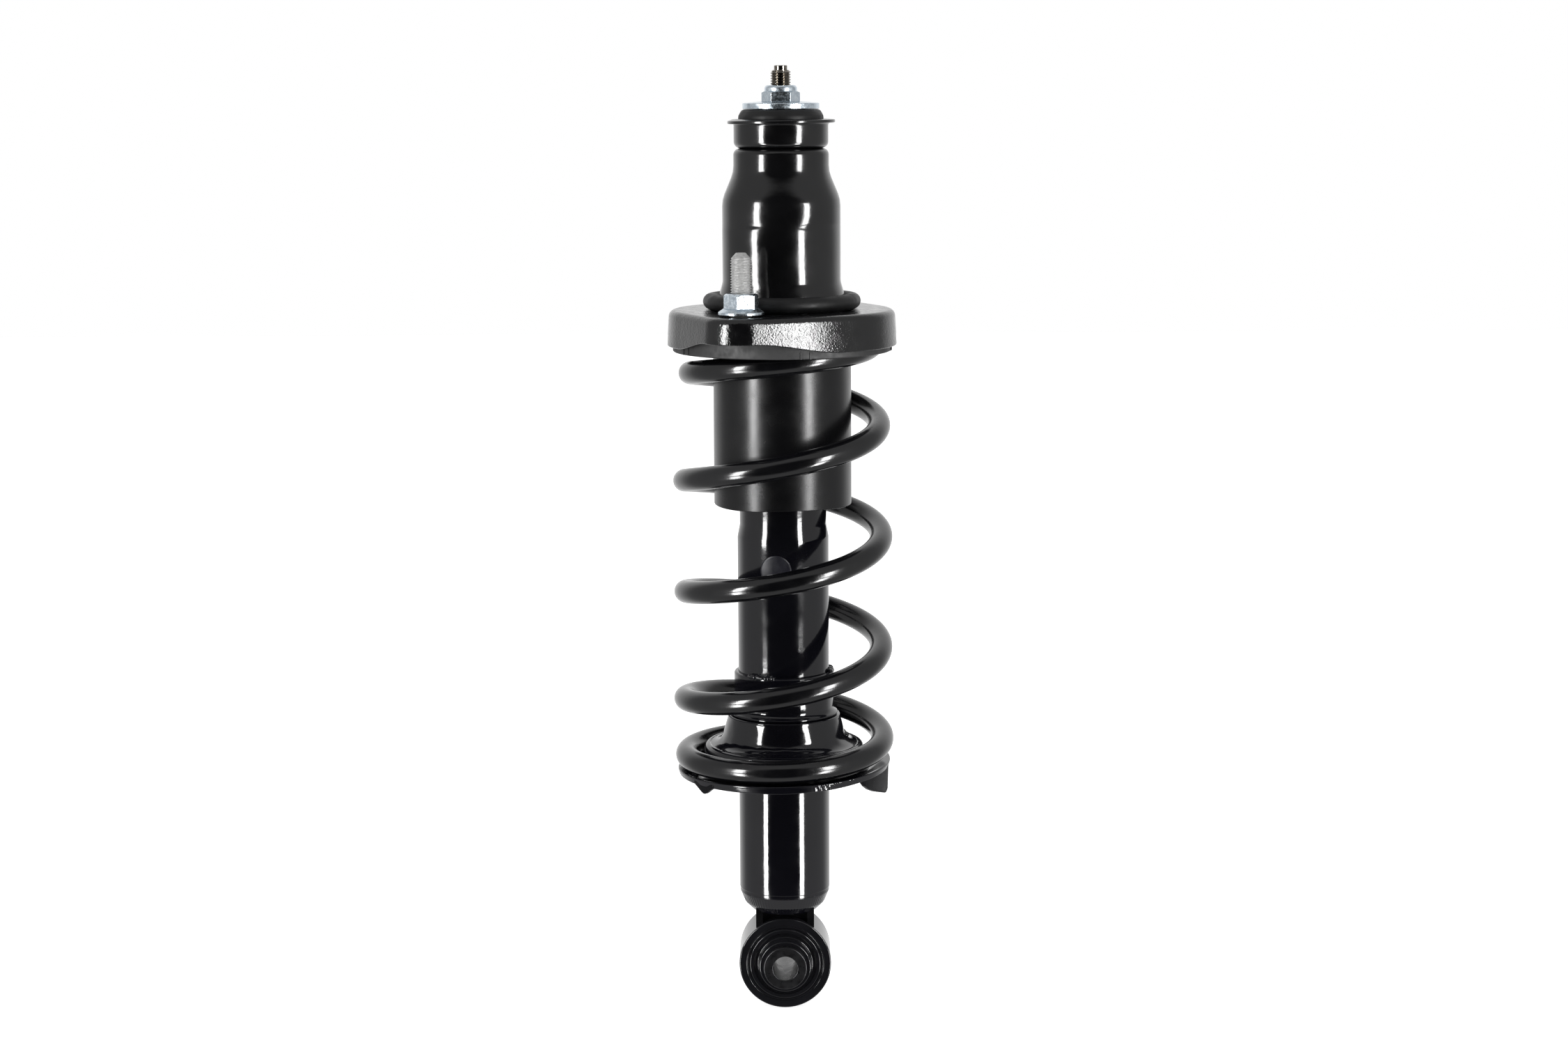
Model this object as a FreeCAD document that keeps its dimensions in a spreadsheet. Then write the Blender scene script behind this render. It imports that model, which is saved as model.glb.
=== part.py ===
"""Rear suspension strut: coil spring, twin-tube damper, two-stud upper mount and lower rubber bush.

Millimetres. The origin is the centre of the two studs on the mount's top face, on the strut's axis.
+Z runs up the strut, -Y is the side with the front stud, and the lower eye's bore runs along Y.
The strut is drawn at full droop, with the damper resting on its rebound bumper.
"""

import FreeCAD, Part
import math
import os

import Sketcher

doc = FreeCAD.newDocument("Strut")
sheet = doc.addObject("Spreadsheet::Sheet", "Sizes")

SIZES = {
    # Upper mount: the drawn tower, its cup, and the two-lobed spring seat with its skirt.
    "seat_radius": 56.1,
    "seat_sheet": 2.3,
    "skirt_depth": 17.4,
    "skirt_depth_at_studs": 12.4,
    "skirt_edge_round": 3.3,
    "stud_circle_inset": 6.1,
    "stud_lobe_radius": 19.3,
    "stud_angle": 22.6,
    "tower_radius": 28.75,
    "tower_sheet": 2.2,
    "tower_height": 77.9,
    "tower_neck_radius": 23.2,
    "tower_neck_foot": 66.6,
    "tower_slope_height": 13.4,
    "tower_flare_radius": 30.6,
    "tower_flare_start": 13.5,
    "tower_flare_end": 7.0,
    "base_plate_inset": 8.1,
    "base_plate_lobe_inset": 7.3,
    "base_plate_sheet": 2.5,
    "tower_bend_round": 15.0,
    "tower_corner_round": 3.2,
    "cup_radius": 22.95,
    "cup_sheet": 1.6,
    "cup_depth": 14.0,
    "cup_lip_radius": 26.1,
    "cup_corner_round": 3.2,
    "cup_lip_round": 2.0,
    "rubber_clearance": 0.3,
    "rod_hole_radius": 10.5,
    # Studs and nuts: M10 x 1.25.
    "stud_radius": 5.0,
    "stud_thread_root": 4.35,
    "stud_length_above": 30.0,
    "stud_tip_radius": 2.3,
    "stud_tip_length": 3.0,
    "stud_serration_radius": 5.4,
    "stud_head_radius": 7.5,
    "stud_head_height": 2.6,
    "nut_standoff": 0.8,
    "nut_height": 10.0,
    "nut_across_flats": 15.0,
    "nut_flange_radius": 10.9,
    "nut_flange_edge": 1.4,
    "nut_flange_height": 3.2,
    "nut_chamfer": 0.7,
    "nut_chamfer_width": 1.1,
    # Seal ring on the mount's top face.
    "ring_cord_radius": 3.85,
    # Rubber bushes on the rod's end, with their washers, spacer tube and self-locking nut.
    "rod_thread_radius": 5.0,
    "spacer_wall": 2.1,
    "spacer_clearance": 0.1,
    "bush_height_over_lip": 4.5,
    "bush_dome_radius": 20.4,
    "bush_dome_round": 3.6,
    "lower_bush_height": 14.0,
    "lower_bush_radius": 20.0,
    "lower_washer_radius": 18.5,
    "lower_washer_thickness": 2.5,
    "washer_radius": 18.6,
    "washer_thickness": 2.8,
    "washer_dish": 0.8,
    "washer_flat_radius": 10.0,
    "lock_nut_across_flats": 16.2,
    "lock_nut_hex_height": 5.2,
    "lock_nut_height": 7.8,
    "lock_nut_collar_radius": 7.9,
    "lock_nut_collar_round": 1.6,
    "rod_pilot_radius": 3.2,
    "rod_pilot_length": 2.3,
    "rod_end_over_nut": 9.4,
    "rod_end_chamfer": 0.9,
    # Damper: rod, piston and the parts inside the tubes.
    "damper_travel": 98.0,
    "rod_radius": 6.25,
    "running_clearance": 0.04,
    "bump_stop_length": 36.0,
    "bump_stop_radius": 17.5,
    "bump_stop_groove": 3.0,
    "bump_stop_clearance": 0.4,
    "tube_radius": 22.5,
    "tube_wall": 1.8,
    "tube_neck_radius": 21.35,
    "tube_length": 213.6,
    "tube_neck_length": 28.5,
    "tube_shoulder_length": 6.0,
    "tube_lip_radius": 15.0,
    "bump_cap_height": 10.0,
    "bump_cap_sheet": 1.4,
    "rod_seal_height": 4.0,
    "rod_guide_height": 16.0,
    "rod_guide_spigot": 5.0,
    "cylinder_radius": 16.6,
    "cylinder_wall": 1.6,
    "base_valve_height": 8.0,
    "base_valve_gap": 4.1,
    "rebound_bumper_height": 12.0,
    "rebound_bumper_radius": 12.5,
    "rebound_ring_height": 2.2,
    "rebound_ring_radius": 8.6,
    "rebound_ring_depth": 0.8,
    "piston_drop": 21.2,
    "piston_height": 12.0,
    "piston_spigot_radius": 4.5,
    "piston_land": 2.5,
    "piston_band_depth": 1.2,
    "shim_radius": 11.0,
    "shim_thickness": 0.8,
    "piston_nut_across_flats": 13.0,
    "piston_nut_height": 6.0,
    "piston_spigot_over_nut": 1.5,
    # Dust cover and the rubber seat between the spring and the mount.
    "cover_radius": 33.85,
    "cover_wall": 1.8,
    "cover_length": 90.5,
    "cover_top_gap": 0.3,
    "cover_rim_width": 3.0,
    "insulator_floor": 4.9,
    "insulator_lip_depth": 15.1,
    "insulator_lip_wall": 3.4,
    "insulator_hub_wall": 2.6,
    "insulator_hub_depth": 9.0,
    "insulator_skirt_gap": 0.4,
    # Coil spring: heights are those of the wire's centre line, and turns are counted from the front.
    "wire_radius": 5.6,
    "coil_lip_clearance": 1.4,
    "coil_end_clearance": 0.05,
    "coil_taper_width": 5.4,
    "coil_pitch": 55.3,
    "coil_lean": 1.5,
    "coil_sway": 1.0,
    "coil_sway_fade_start": 2.0,
    "coil_sway_fade_end": 3.0,
    "coil_low_turn_rise": 2.5,
    "coil_low_turn_spread": 1.2,
    "coil_start_turn": -0.56,
    "coil_end_turn": 4.8,
    "coil_rise_start": -0.42,
    "coil_rise_end": 0.95,
    "coil_close_start": 3.3,
    "coil_taper_start": 2.7,
    "coil_taper_end": 4.6,
    # Lower spring perch, pressed on the tube and welded.
    "perch_sheet": 2.5,
    "perch_height": 63.8,
    "perch_rim_width": 4.6,
    "perch_seat_width": 10.0,
    "perch_step_width": 3.7,
    "perch_step_height": 11.3,
    "perch_collar_wall": 2.1,
    "perch_collar_height": 47.9,
    "perch_shoulder_width": 2.8,
    "perch_shoulder_height": 27.1,
    "perch_cone_width": 0.6,
    "perch_cone_foot_width": 2.4,
    "perch_ledge_bend": 4.5,
    "perch_ledge_width": 8.2,
    "perch_cone_foot_height": 16.6,
    "perch_rim_round": 1.2,
    "perch_tab_width": 14.0,
    "perch_tab_drop": 4.6,
    "perch_tab_angle": -49.1,
    "perch_lug_width": 28.0,
    "perch_lug_drop": 9.6,
    "perch_lug_angle": 61.5,
    "perch_weld_radius": 2.0,
    "perch_weld_inset": 0.7,
    "perch_weld_cut": 10.0,
    "perch_weld_angle": 32.0,
    "perch_weld_first_angle": 76.0,
    # Bottom cap, neck and eye with its rubber bush.
    "cap_crimp_radius": 20.0,
    "cap_crimp_drop": 5.9,
    "cap_flat_radius": 16.2,
    "cap_drop": 9.7,
    "cap_wall": 3.0,
    "cap_ledge_radius": 15.8,
    "cap_ledge_depth": 4.5,
    "neck_width": 29.0,
    "neck_depth": 24.0,
    "neck_wall": 3.4,
    "neck_recess": 4.0,
    "eye_gap": 2.5,
    "eye_radius": 22.9,
    "eye_wall": 3.9,
    "eye_edge_round": 0.6,
    "eye_length": 29.0,
    "bush_shell_wall": 1.1,
    "bush_rubber_bulge": 2.0,
    "bush_collar_radius": 13.4,
    "bush_collar_length": 6.0,
    "sleeve_radius": 10.75,
    "sleeve_bore_radius": 6.1,
    "sleeve_length": 47.0,
    "sleeve_edge_chamfer": 0.5,
    "bond_clearance": 0.05,
    # Round identification disc stuck on the tube.
    "disc_radius": 7.9,
    "disc_thickness": 0.15,
    "disc_drop": 49.0,
    "disc_offset": 3.7,
}

for row, (name, number) in enumerate(SIZES.items(), start=1):
    sheet.set(f"A{row}", name)
    sheet.set(f"B{row}", str(number))
    sheet.setAlias(f"B{row}", name)
doc.recompute()


class Size:
    """A number together with the sheet expression that gives it."""

    def __init__(self, number, text):
        self.number = number
        self.text = text

    def join(self, other, sign, number):
        return Size(number, f"({self.text} {sign} {as_size(other).text})")

    def __add__(self, other):
        return self.join(other, "+", self.number + as_size(other).number)

    def __sub__(self, other):
        return self.join(other, "-", self.number - as_size(other).number)

    def __mul__(self, other):
        return self.join(other, "*", self.number * as_size(other).number)

    def __truediv__(self, other):
        return self.join(other, "/", self.number / as_size(other).number)

    def __neg__(self):
        return Size(-self.number, f"(-1 * {self.text})")

    def root(self):
        return Size(math.sqrt(self.number), f"sqrt({self.text})")


def as_size(value):
    return value if isinstance(value, Size) else Size(float(value), repr(float(value)))


class Book:
    """Gives each cell of the sheet as a Size, by its alias."""

    def __getattr__(self, name):
        return Size(float(sheet.get(name)), f"Sizes.{name}")


s = Book()


def plane_of(body, role):
    return next(x for x in body.Origin.OriginFeatures if x.Role == role)


def polygon_sketch(body, role, points):
    """A closed outline of straight lines, each corner held by two sizes from the sketch's origin."""
    sketch = body.newObject("Sketcher::SketchObject", body.Name + "Sketch")
    sketch.AttachmentSupport = [(plane_of(body, role), "")]
    sketch.MapMode = "FlatFace"
    points = [(as_size(x), as_size(y)) for x, y in points]
    corners = [FreeCAD.Vector(x.number, y.number, 0) for x, y in points]
    for i, corner in enumerate(corners):
        sketch.addGeometry(Part.LineSegment(corner, corners[(i + 1) % len(corners)]), False)
    for i in range(len(corners)):
        sketch.addConstraint(Sketcher.Constraint("Coincident", i, 2, (i + 1) % len(corners), 1))
    for i, (x, y) in enumerate(points):
        for kind, axis, value in (("DistanceX", -2, x), ("DistanceY", -1, y)):
            if abs(value.number) < 1e-9:
                sketch.addConstraint(Sketcher.Constraint("PointOnObject", i, 1, axis))
                continue
            made = sketch.addConstraint(Sketcher.Constraint(kind, -1, 1, i, 1, value.number))
            sketch.setExpression(f"Constraints[{made}]", value.text)
    return sketch


def new_body(label):
    body = doc.addObject("PartDesign::Body", label)
    body.Label = label
    return body


def ring_edges(shape, spots):
    """The names of the circular edges about the Z axis at the given (radius, height) spots."""
    names = []
    for i, edge in enumerate(shape.Edges, start=1):
        curve = edge.Curve
        if not isinstance(curve, Part.Circle):
            continue
        on_axis = math.hypot(curve.Center.x, curve.Center.y) < 1e-6
        near = any(abs(curve.Radius - r) < 1e-3 and abs(curve.Center.z - z) < 1e-3 for r, z in spots)
        if on_axis and near:
            names.append(f"Edge{i}")
    return names


def round_rings(body, radius, spots):
    """Rounds the turned corners at the given (radius, height) spots."""
    doc.recompute()
    tip = body.Tip
    names = ring_edges(tip.Shape, [(as_size(r).number, as_size(z).number) for r, z in spots])
    if len(names) != len(spots):
        raise ValueError(f"{body.Label}: {len(names)} of {len(spots)} corners found")
    fillet = body.newObject("PartDesign::Fillet", body.Name + "Round")
    fillet.Base = (tip, names)
    fillet.Radius = as_size(radius).number
    fillet.setExpression("Radius", as_size(radius).text)
    body.Tip = fillet


def turned(label, outline, rounds=()):
    """A piece turned about the Z axis from an outline of (radius, height) corners."""
    body = new_body(label)
    sketch = polygon_sketch(body, "XZ_Plane", outline)
    turn = body.newObject("PartDesign::Revolution", label + "Turn")
    turn.Profile = sketch
    turn.ReferenceAxis = (sketch, ["V_Axis"])
    turn.Angle = 360.0
    body.Tip = turn
    for radius, spots in rounds:
        round_rings(body, radius, spots)
    return body


def place(obj, x=0, y=0, z=0, axis=(0, 0, 1), angle=0):
    """Puts a piece where it belongs, with every value bound to the sheet."""
    for field, value in (("x", x), ("y", y), ("z", z)):
        obj.setExpression(f".Placement.Base.{field}", as_size(value).text)
    for field, value in zip("xyz", axis):
        obj.setExpression(f".Placement.Rotation.Axis.{field}", as_size(value).text)
    obj.setExpression(".Placement.Rotation.Angle", as_size(angle).text)
    return obj


def shape_of(kind, name, **sizes):
    """A basic solid, its sizes bound to the sheet."""
    obj = doc.addObject("Part::" + kind, name)
    for field, value in sizes.items():
        obj.setExpression(field, as_size(value).text)
    return obj


def cylinder(name, radius, height, x=0, y=0, z=0, axis=(0, 0, 1), angle=0):
    return place(shape_of("Cylinder", name, Radius=radius, Height=height), x, y, z, axis, angle)


def box(name, length, width, height, x, y, z, axis=(0, 0, 1), angle=0):
    return place(shape_of("Box", name, Length=length, Width=width, Height=height), x, y, z, axis, angle)


def fused(name, shapes):
    obj = doc.addObject("Part::MultiFuse", name)
    obj.Shapes = shapes
    obj.Refine = True
    return obj


def common(name, first, second):
    obj = doc.addObject("Part::MultiCommon", name)
    obj.Shapes = [first, second]
    return obj


def cut(name, base, tool):
    obj = doc.addObject("Part::Cut", name)
    obj.Base = base
    obj.Tool = tool
    return obj


def grouped(name, shapes):
    """Several separate solids under one name."""
    obj = doc.addObject("Part::Compound", name)
    obj.Links = shapes
    return obj


def hexagon_corner(across_flats):
    """A hexagon's radius at its corners."""
    return across_flats / 2 / math.cos(math.radians(30))


def hexagon(name, across_flats, height, z):
    """A hexagonal prism, which the sheet sizes by its width across the flats."""
    prism = shape_of("Prism", name, Circumradius=hexagon_corner(across_flats), Height=height)
    prism.Polygon = 6
    return place(prism, z=z)


pieces = []


def keep(obj, label):
    obj.Label = label
    pieces.append(obj)
    return obj


# Heights and radii that several pieces share, worked out from the sizes above.
stud_circle_radius = s.seat_radius - s.stud_circle_inset
tower_foot = -s.seat_sheet
tower_underside = tower_foot - s.base_plate_sheet
cup_floor = s.tower_height + s.cup_sheet
cup_lip = s.tower_height + s.cup_depth
bush_top = cup_lip + s.bush_height_over_lip
washer_foot = bush_top + s.rubber_clearance
washer_centre_foot = washer_foot + s.washer_dish
lock_nut_foot = washer_centre_foot + s.washer_thickness
rod_tip = lock_nut_foot + s.lock_nut_height + s.rod_end_over_nut
lower_bush_top = s.tower_height - s.tower_sheet - s.rubber_clearance
lower_washer_top = lower_bush_top - s.lower_bush_height - s.rubber_clearance
rod_shoulder = lower_washer_top - s.lower_washer_thickness
bump_stop_top = rod_shoulder - s.rubber_clearance
bump_stop_foot = bump_stop_top - s.bump_stop_length
cap_top = bump_stop_foot - s.bump_stop_clearance - s.damper_travel
tube_top = cap_top - s.bump_cap_sheet
spacer_radius = s.rod_thread_radius + s.spacer_clearance + s.spacer_wall
spacer_bore = s.rod_thread_radius + s.spacer_clearance
bush_bore = spacer_radius + s.rubber_clearance
tube_foot = tube_top - s.tube_length
cap_foot = tube_foot - s.cap_drop
eye_height = cap_foot - s.eye_gap - s.eye_radius
cover_top = tower_underside - s.cover_top_gap
insulator_radius = s.seat_radius - s.seat_sheet - s.insulator_skirt_gap
insulator_floor = cover_top - s.insulator_floor
coil_top_radius = insulator_radius - s.insulator_lip_wall - s.coil_lip_clearance - s.wire_radius
coil_radius = coil_top_radius + s.coil_taper_width
perch_seat = tube_foot + s.perch_height
perch_radius = coil_radius + s.perch_rim_width
perch_seat_inner = perch_radius - s.perch_seat_width
perch_ledge_radius = perch_seat_inner - s.perch_step_width


def lobed_plate(name, main_radius, lobe_radius, height, z):
    """A flat plate whose edge runs round a main circle and two stud lobes, joined by tangent flats."""
    body = new_body(name)
    sketch = body.newObject("Sketcher::SketchObject", name + "Sketch")
    sketch.AttachmentSupport = [(plane_of(body, "XY_Plane"), "")]
    sketch.MapMode = "FlatFace"
    main_radius, lobe_radius = as_size(main_radius), as_size(lobe_radius)
    reach = stud_circle_radius.number
    spread = math.acos((main_radius.number - lobe_radius.number) / reach)
    quarter = math.pi / 2
    arcs = [
        (reach, lobe_radius, quarter - spread, quarter + spread),
        (0.0, main_radius, quarter + spread, 3 * quarter - spread),
        (-reach, lobe_radius, 3 * quarter - spread, 3 * quarter + spread),
        (0.0, main_radius, 3 * quarter + spread, 5 * quarter - spread),
    ]
    ends = []
    for centre_y, radius, start, end in arcs:
        circle = Part.Circle(FreeCAD.Vector(0, centre_y, 0), FreeCAD.Vector(0, 0, 1), radius.number)
        sketch.addGeometry(Part.ArcOfCircle(circle, start, end), False)
        ends.append((circle.value(start), circle.value(end)))
    for i in range(4):
        sketch.addGeometry(Part.LineSegment(ends[i][1], ends[(i + 1) % 4][0]), False)
    for i in range(4):
        sketch.addConstraint(Sketcher.Constraint("Tangent", i, 2, 4 + i, 1))
        sketch.addConstraint(Sketcher.Constraint("Tangent", 4 + i, 2, (i + 1) % 4, 1))
    for i in (1, 3):
        sketch.addConstraint(Sketcher.Constraint("Coincident", i, 3, -1, 1))
    for i in (0, 2):
        sketch.addConstraint(Sketcher.Constraint("PointOnObject", i, 3, -2))
    for i, (_, value, _, _) in enumerate(arcs):
        made = sketch.addConstraint(Sketcher.Constraint("Radius", i, value.number))
        sketch.setExpression(f"Constraints[{made}]", value.text)
    for i, value in ((0, stud_circle_radius), (2, -stud_circle_radius)):
        made = sketch.addConstraint(Sketcher.Constraint("DistanceY", -1, 1, i, 3, value.number))
        sketch.setExpression(f"Constraints[{made}]", value.text)
    pad = body.newObject("PartDesign::Pad", name + "Pad")
    pad.Profile = sketch
    pad.Length = as_size(height).number
    pad.setExpression("Length", as_size(height).text)
    body.Tip = pad
    return place(body, z=z, angle=s.stud_angle * -1)


def at_studs(name, obj, z=0):
    """Two copies of a piece made about the Z axis, one at each stud."""
    place(obj, y=-stud_circle_radius, z=z)
    copies = []
    for number, turn in enumerate((-s.stud_angle, -s.stud_angle + 180.0), start=1):
        copy = grouped(f"{name}{number}", [obj])
        copies.append(place(copy, angle=turn))
    return grouped(name, copies)


# Upper spring seat: a stamping with two stud lobes, whose skirt is shallower at the lobes.
outer_seat = lobed_plate("SeatOuter", s.seat_radius, s.stud_lobe_radius, s.skirt_depth, -s.skirt_depth)
doc.recompute()
outer_pad = outer_seat.Tip
seat_top_edge = next(
    f"Edge{i}"
    for i, edge in enumerate(outer_pad.Shape.Edges, start=1)
    if edge.BoundBox.ZMin > s.skirt_depth.number - 0.01
)
seat_round = outer_seat.newObject("PartDesign::Fillet", "SeatOuterRound")
seat_round.Base = (outer_pad, [seat_top_edge])
seat_round.Radius = s.skirt_edge_round.number
seat_round.setExpression("Radius", s.skirt_edge_round.text)
outer_seat.Tip = seat_round

inner_seat = lobed_plate(
    "SeatInner",
    s.seat_radius - s.seat_sheet,
    s.stud_lobe_radius - s.seat_sheet,
    s.skirt_depth,
    -s.skirt_depth - s.seat_sheet,
)
seat_hole_radius = s.tower_flare_radius + s.rubber_clearance
seat_hole = cylinder("SeatHole", seat_hole_radius, s.skirt_depth * 2, z=-s.skirt_depth)
seat_stud_hole = cylinder("SeatStudHole", s.stud_serration_radius, s.skirt_depth)
seat_stud_holes = at_studs("SeatStudHoles", seat_stud_hole, z=-s.skirt_depth)

# The skirt's edge climbs along the tangent flats, from the main circle to the lobes.
flat_share = (s.seat_radius - s.stud_lobe_radius) / stud_circle_radius
flat_start = s.seat_radius * flat_share
flat_end = stud_circle_radius + s.stud_lobe_radius * flat_share
past_lobe = stud_circle_radius + s.stud_lobe_radius * 2
edge_cuts = []
for side in (1, -1):
    edge_body = new_body("SkirtEdge" + ("Back" if side > 0 else "Front"))
    edge_sketch = polygon_sketch(edge_body, "YZ_Plane", [
        (flat_start * side, -s.skirt_depth * 2),
        (flat_start * side, -s.skirt_depth),
        (flat_end * side, -s.skirt_depth_at_studs),
        (past_lobe * side, -s.skirt_depth_at_studs),
        (past_lobe * side, -s.skirt_depth * 2),
    ])
    edge_pad = edge_body.newObject("PartDesign::Pad", edge_body.Name + "Pad")
    edge_pad.Profile = edge_sketch
    edge_pad.Midplane = True
    edge_pad.setExpression("Length", (s.seat_radius * 2).text)
    edge_body.Tip = edge_pad
    edge_cuts.append(place(edge_body, angle=-s.stud_angle))
seat_tools = fused("SeatTools", [inner_seat, seat_hole, seat_stud_holes, *edge_cuts])
keep(cut("UpperSpringSeat", outer_seat, seat_tools), "upper_spring_seat")

# Tower: a deep-drawn cap with a stepped neck, whose foot goes down through the seat's hole.
neck_inside = s.tower_neck_radius - s.tower_sheet
tower_shoulder = s.tower_neck_foot - s.tower_slope_height
tower_inside = s.tower_radius - s.tower_sheet
flare_inside = s.tower_flare_radius - s.tower_sheet
tower_ceiling = s.tower_height - s.tower_sheet
tower_shell = turned("TowerShell", [
    (s.rod_hole_radius, s.tower_height),
    (s.tower_neck_radius, s.tower_height),
    (s.tower_neck_radius, s.tower_neck_foot),
    (s.tower_radius, tower_shoulder),
    (s.tower_radius, s.tower_flare_start),
    (s.tower_flare_radius, s.tower_flare_end),
    (s.tower_flare_radius, tower_underside),
    (flare_inside, tower_underside),
    (flare_inside, s.tower_flare_end),
    (tower_inside, s.tower_flare_start),
    (tower_inside, tower_shoulder),
    (neck_inside, s.tower_neck_foot),
    (neck_inside, tower_ceiling),
    (s.rod_hole_radius, tower_ceiling),
], [
    (s.tower_corner_round, [(s.tower_neck_radius, s.tower_height)]),
    (s.tower_corner_round - s.tower_sheet, [(neck_inside, tower_ceiling)]),
    (s.tower_bend_round, [(s.tower_neck_radius, s.tower_neck_foot), (s.tower_radius, tower_shoulder)]),
    (s.tower_bend_round, [(neck_inside, s.tower_neck_foot), (tower_inside, tower_shoulder)]),
    (s.tower_bend_round, [(s.tower_radius, s.tower_flare_start), (tower_inside, s.tower_flare_start)]),
])
keep(tower_shell, "mount_tower")

# Base plate: a two-lobed plate under the seat's sheet, welded round the tower's foot.
base_plate = lobed_plate(
    "PlateBlank",
    s.seat_radius - s.base_plate_inset,
    s.stud_lobe_radius - s.base_plate_lobe_inset,
    s.base_plate_sheet,
    tower_underside,
)
plate_bore = cylinder("PlateBore", s.tower_flare_radius, s.tower_height, z=-s.tower_height / 2)
plate_stud_hole = cylinder("PlateStudHole", s.stud_serration_radius, s.tower_height)
plate_stud_holes = at_studs("PlateStudHoles", plate_stud_hole, z=-s.tower_height / 2)
keep(cut("BasePlate", base_plate, fused("PlateTools", [plate_bore, plate_stud_holes])), "mount_base_plate")

# Cup: a small flanged stamping spot-welded on the tower, which holds the upper bush.
keep(turned("MountCup", [
    (s.rod_hole_radius, s.tower_height),
    (s.cup_radius, s.tower_height),
    (s.cup_radius, cup_lip - s.cup_sheet),
    (s.cup_lip_radius, cup_lip - s.cup_sheet),
    (s.cup_lip_radius, cup_lip),
    (s.cup_radius - s.cup_sheet, cup_lip),
    (s.cup_radius - s.cup_sheet, cup_floor),
    (s.rod_hole_radius, cup_floor),
], [
    (s.cup_corner_round, [(s.cup_radius, s.tower_height)]),
    (s.cup_corner_round - s.cup_sheet, [(s.cup_radius - s.cup_sheet, cup_floor)]),
    (s.cup_lip_round, [(s.cup_radius, cup_lip - s.cup_sheet), (s.cup_radius - s.cup_sheet, cup_lip)]),
]), "mount_cup")

# Studs pressed through both sheets from below, and the flange nuts run down on them by hand.
nut_foot = s.nut_standoff
nut_top = nut_foot + s.nut_height
stud = turned("Stud", [
    (0, tower_underside - s.stud_head_height),
    (s.stud_head_radius, tower_underside - s.stud_head_height),
    (s.stud_head_radius, tower_underside),
    (s.stud_serration_radius, tower_underside),
    (s.stud_serration_radius, 0),
    (s.stud_radius, 0),
    (s.stud_radius, nut_foot),
    (s.stud_thread_root, nut_foot),
    (s.stud_thread_root, nut_top),
    (s.stud_radius, nut_top),
    (s.stud_radius, s.stud_length_above - s.stud_tip_length),
    (s.stud_tip_radius, s.stud_length_above),
    (0, s.stud_length_above),
])
keep(at_studs("MountStuds", stud), "mount_studs")

nut_corner = hexagon_corner(s.nut_across_flats)
nut_blank = turned("NutBlank", [
    (s.stud_thread_root, 0),
    (nut_corner, 0),
    (nut_corner, s.nut_height - s.nut_chamfer),
    (nut_corner - s.nut_chamfer_width, s.nut_height),
    (s.stud_thread_root, s.nut_height),
])
nut_hexagon = hexagon("NutHexagon", s.nut_across_flats, s.nut_height, 0)
nut_collar = turned("NutCollar", [
    (s.stud_thread_root, 0),
    (s.nut_flange_radius, 0),
    (s.nut_flange_radius, s.nut_flange_edge),
    (s.nut_across_flats / 2, s.nut_flange_height),
    (s.stud_thread_root, s.nut_flange_height),
])
nut = fused("Nut", [common("NutBody", nut_blank, nut_hexagon), nut_collar])
keep(at_studs("StudNuts", nut, z=nut_foot), "stud_nuts")

# Seal ring: a round rubber cord laid round the tower's foot.
ring_radius = seat_hole_radius + s.ring_cord_radius
seal_ring = shape_of("Torus", "SealRing", Radius1=ring_radius, Radius2=s.ring_cord_radius)
place(seal_ring, z=s.ring_cord_radius)
keep(seal_ring, "seal_ring")

# The two rubber bushes that grip the tower's top, with the spacer tube and washers on the rod's end.
keep(turned("UpperBush", [
    (bush_bore, cup_floor),
    (s.cup_radius - s.cup_sheet - s.rubber_clearance, cup_floor),
    (s.cup_radius - s.cup_sheet - s.rubber_clearance, cup_lip - s.cup_lip_round),
    (s.bush_dome_radius, cup_lip),
    (s.bush_dome_radius, bush_top),
    (bush_bore, bush_top),
], [
    (s.cup_corner_round, [(s.cup_radius - s.cup_sheet - s.rubber_clearance, cup_floor)]),
    (s.bush_dome_round, [(s.bush_dome_radius, bush_top)]),
]), "upper_bush")

keep(turned("TopWasher", [
    (s.rod_thread_radius, washer_centre_foot),
    (s.washer_flat_radius, washer_centre_foot),
    (s.washer_radius, washer_foot),
    (s.washer_radius, washer_foot + s.washer_thickness),
    (s.washer_flat_radius, lock_nut_foot),
    (s.rod_thread_radius, lock_nut_foot),
]), "top_washer")

lock_corner = hexagon_corner(s.lock_nut_across_flats)
lock_blank = turned("LockNutBlank", [
    (s.rod_thread_radius, 0),
    (lock_corner, 0),
    (lock_corner, s.lock_nut_hex_height - s.nut_chamfer),
    (lock_corner - s.nut_chamfer_width, s.lock_nut_hex_height),
    (s.rod_thread_radius, s.lock_nut_hex_height),
])
lock_hexagon = hexagon("LockNutHexagon", s.lock_nut_across_flats, s.lock_nut_hex_height, 0)
lock_collar = turned("LockNutCollar", [
    (s.rod_thread_radius, 0),
    (s.lock_nut_collar_radius, 0),
    (s.lock_nut_collar_radius, s.lock_nut_height),
    (s.rod_thread_radius, s.lock_nut_height),
], [
    (s.lock_nut_collar_round, [(s.lock_nut_collar_radius, s.lock_nut_height)]),
])
lock_nut = fused("TopNut", [common("LockNutBody", lock_blank, lock_hexagon), lock_collar])
keep(place(lock_nut, z=lock_nut_foot), "top_nut")

keep(turned("BushSpacer", [
    (spacer_bore, lower_washer_top),
    (spacer_radius, lower_washer_top),
    (spacer_radius, washer_centre_foot),
    (spacer_bore, washer_centre_foot),
]), "bush_spacer")

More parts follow.
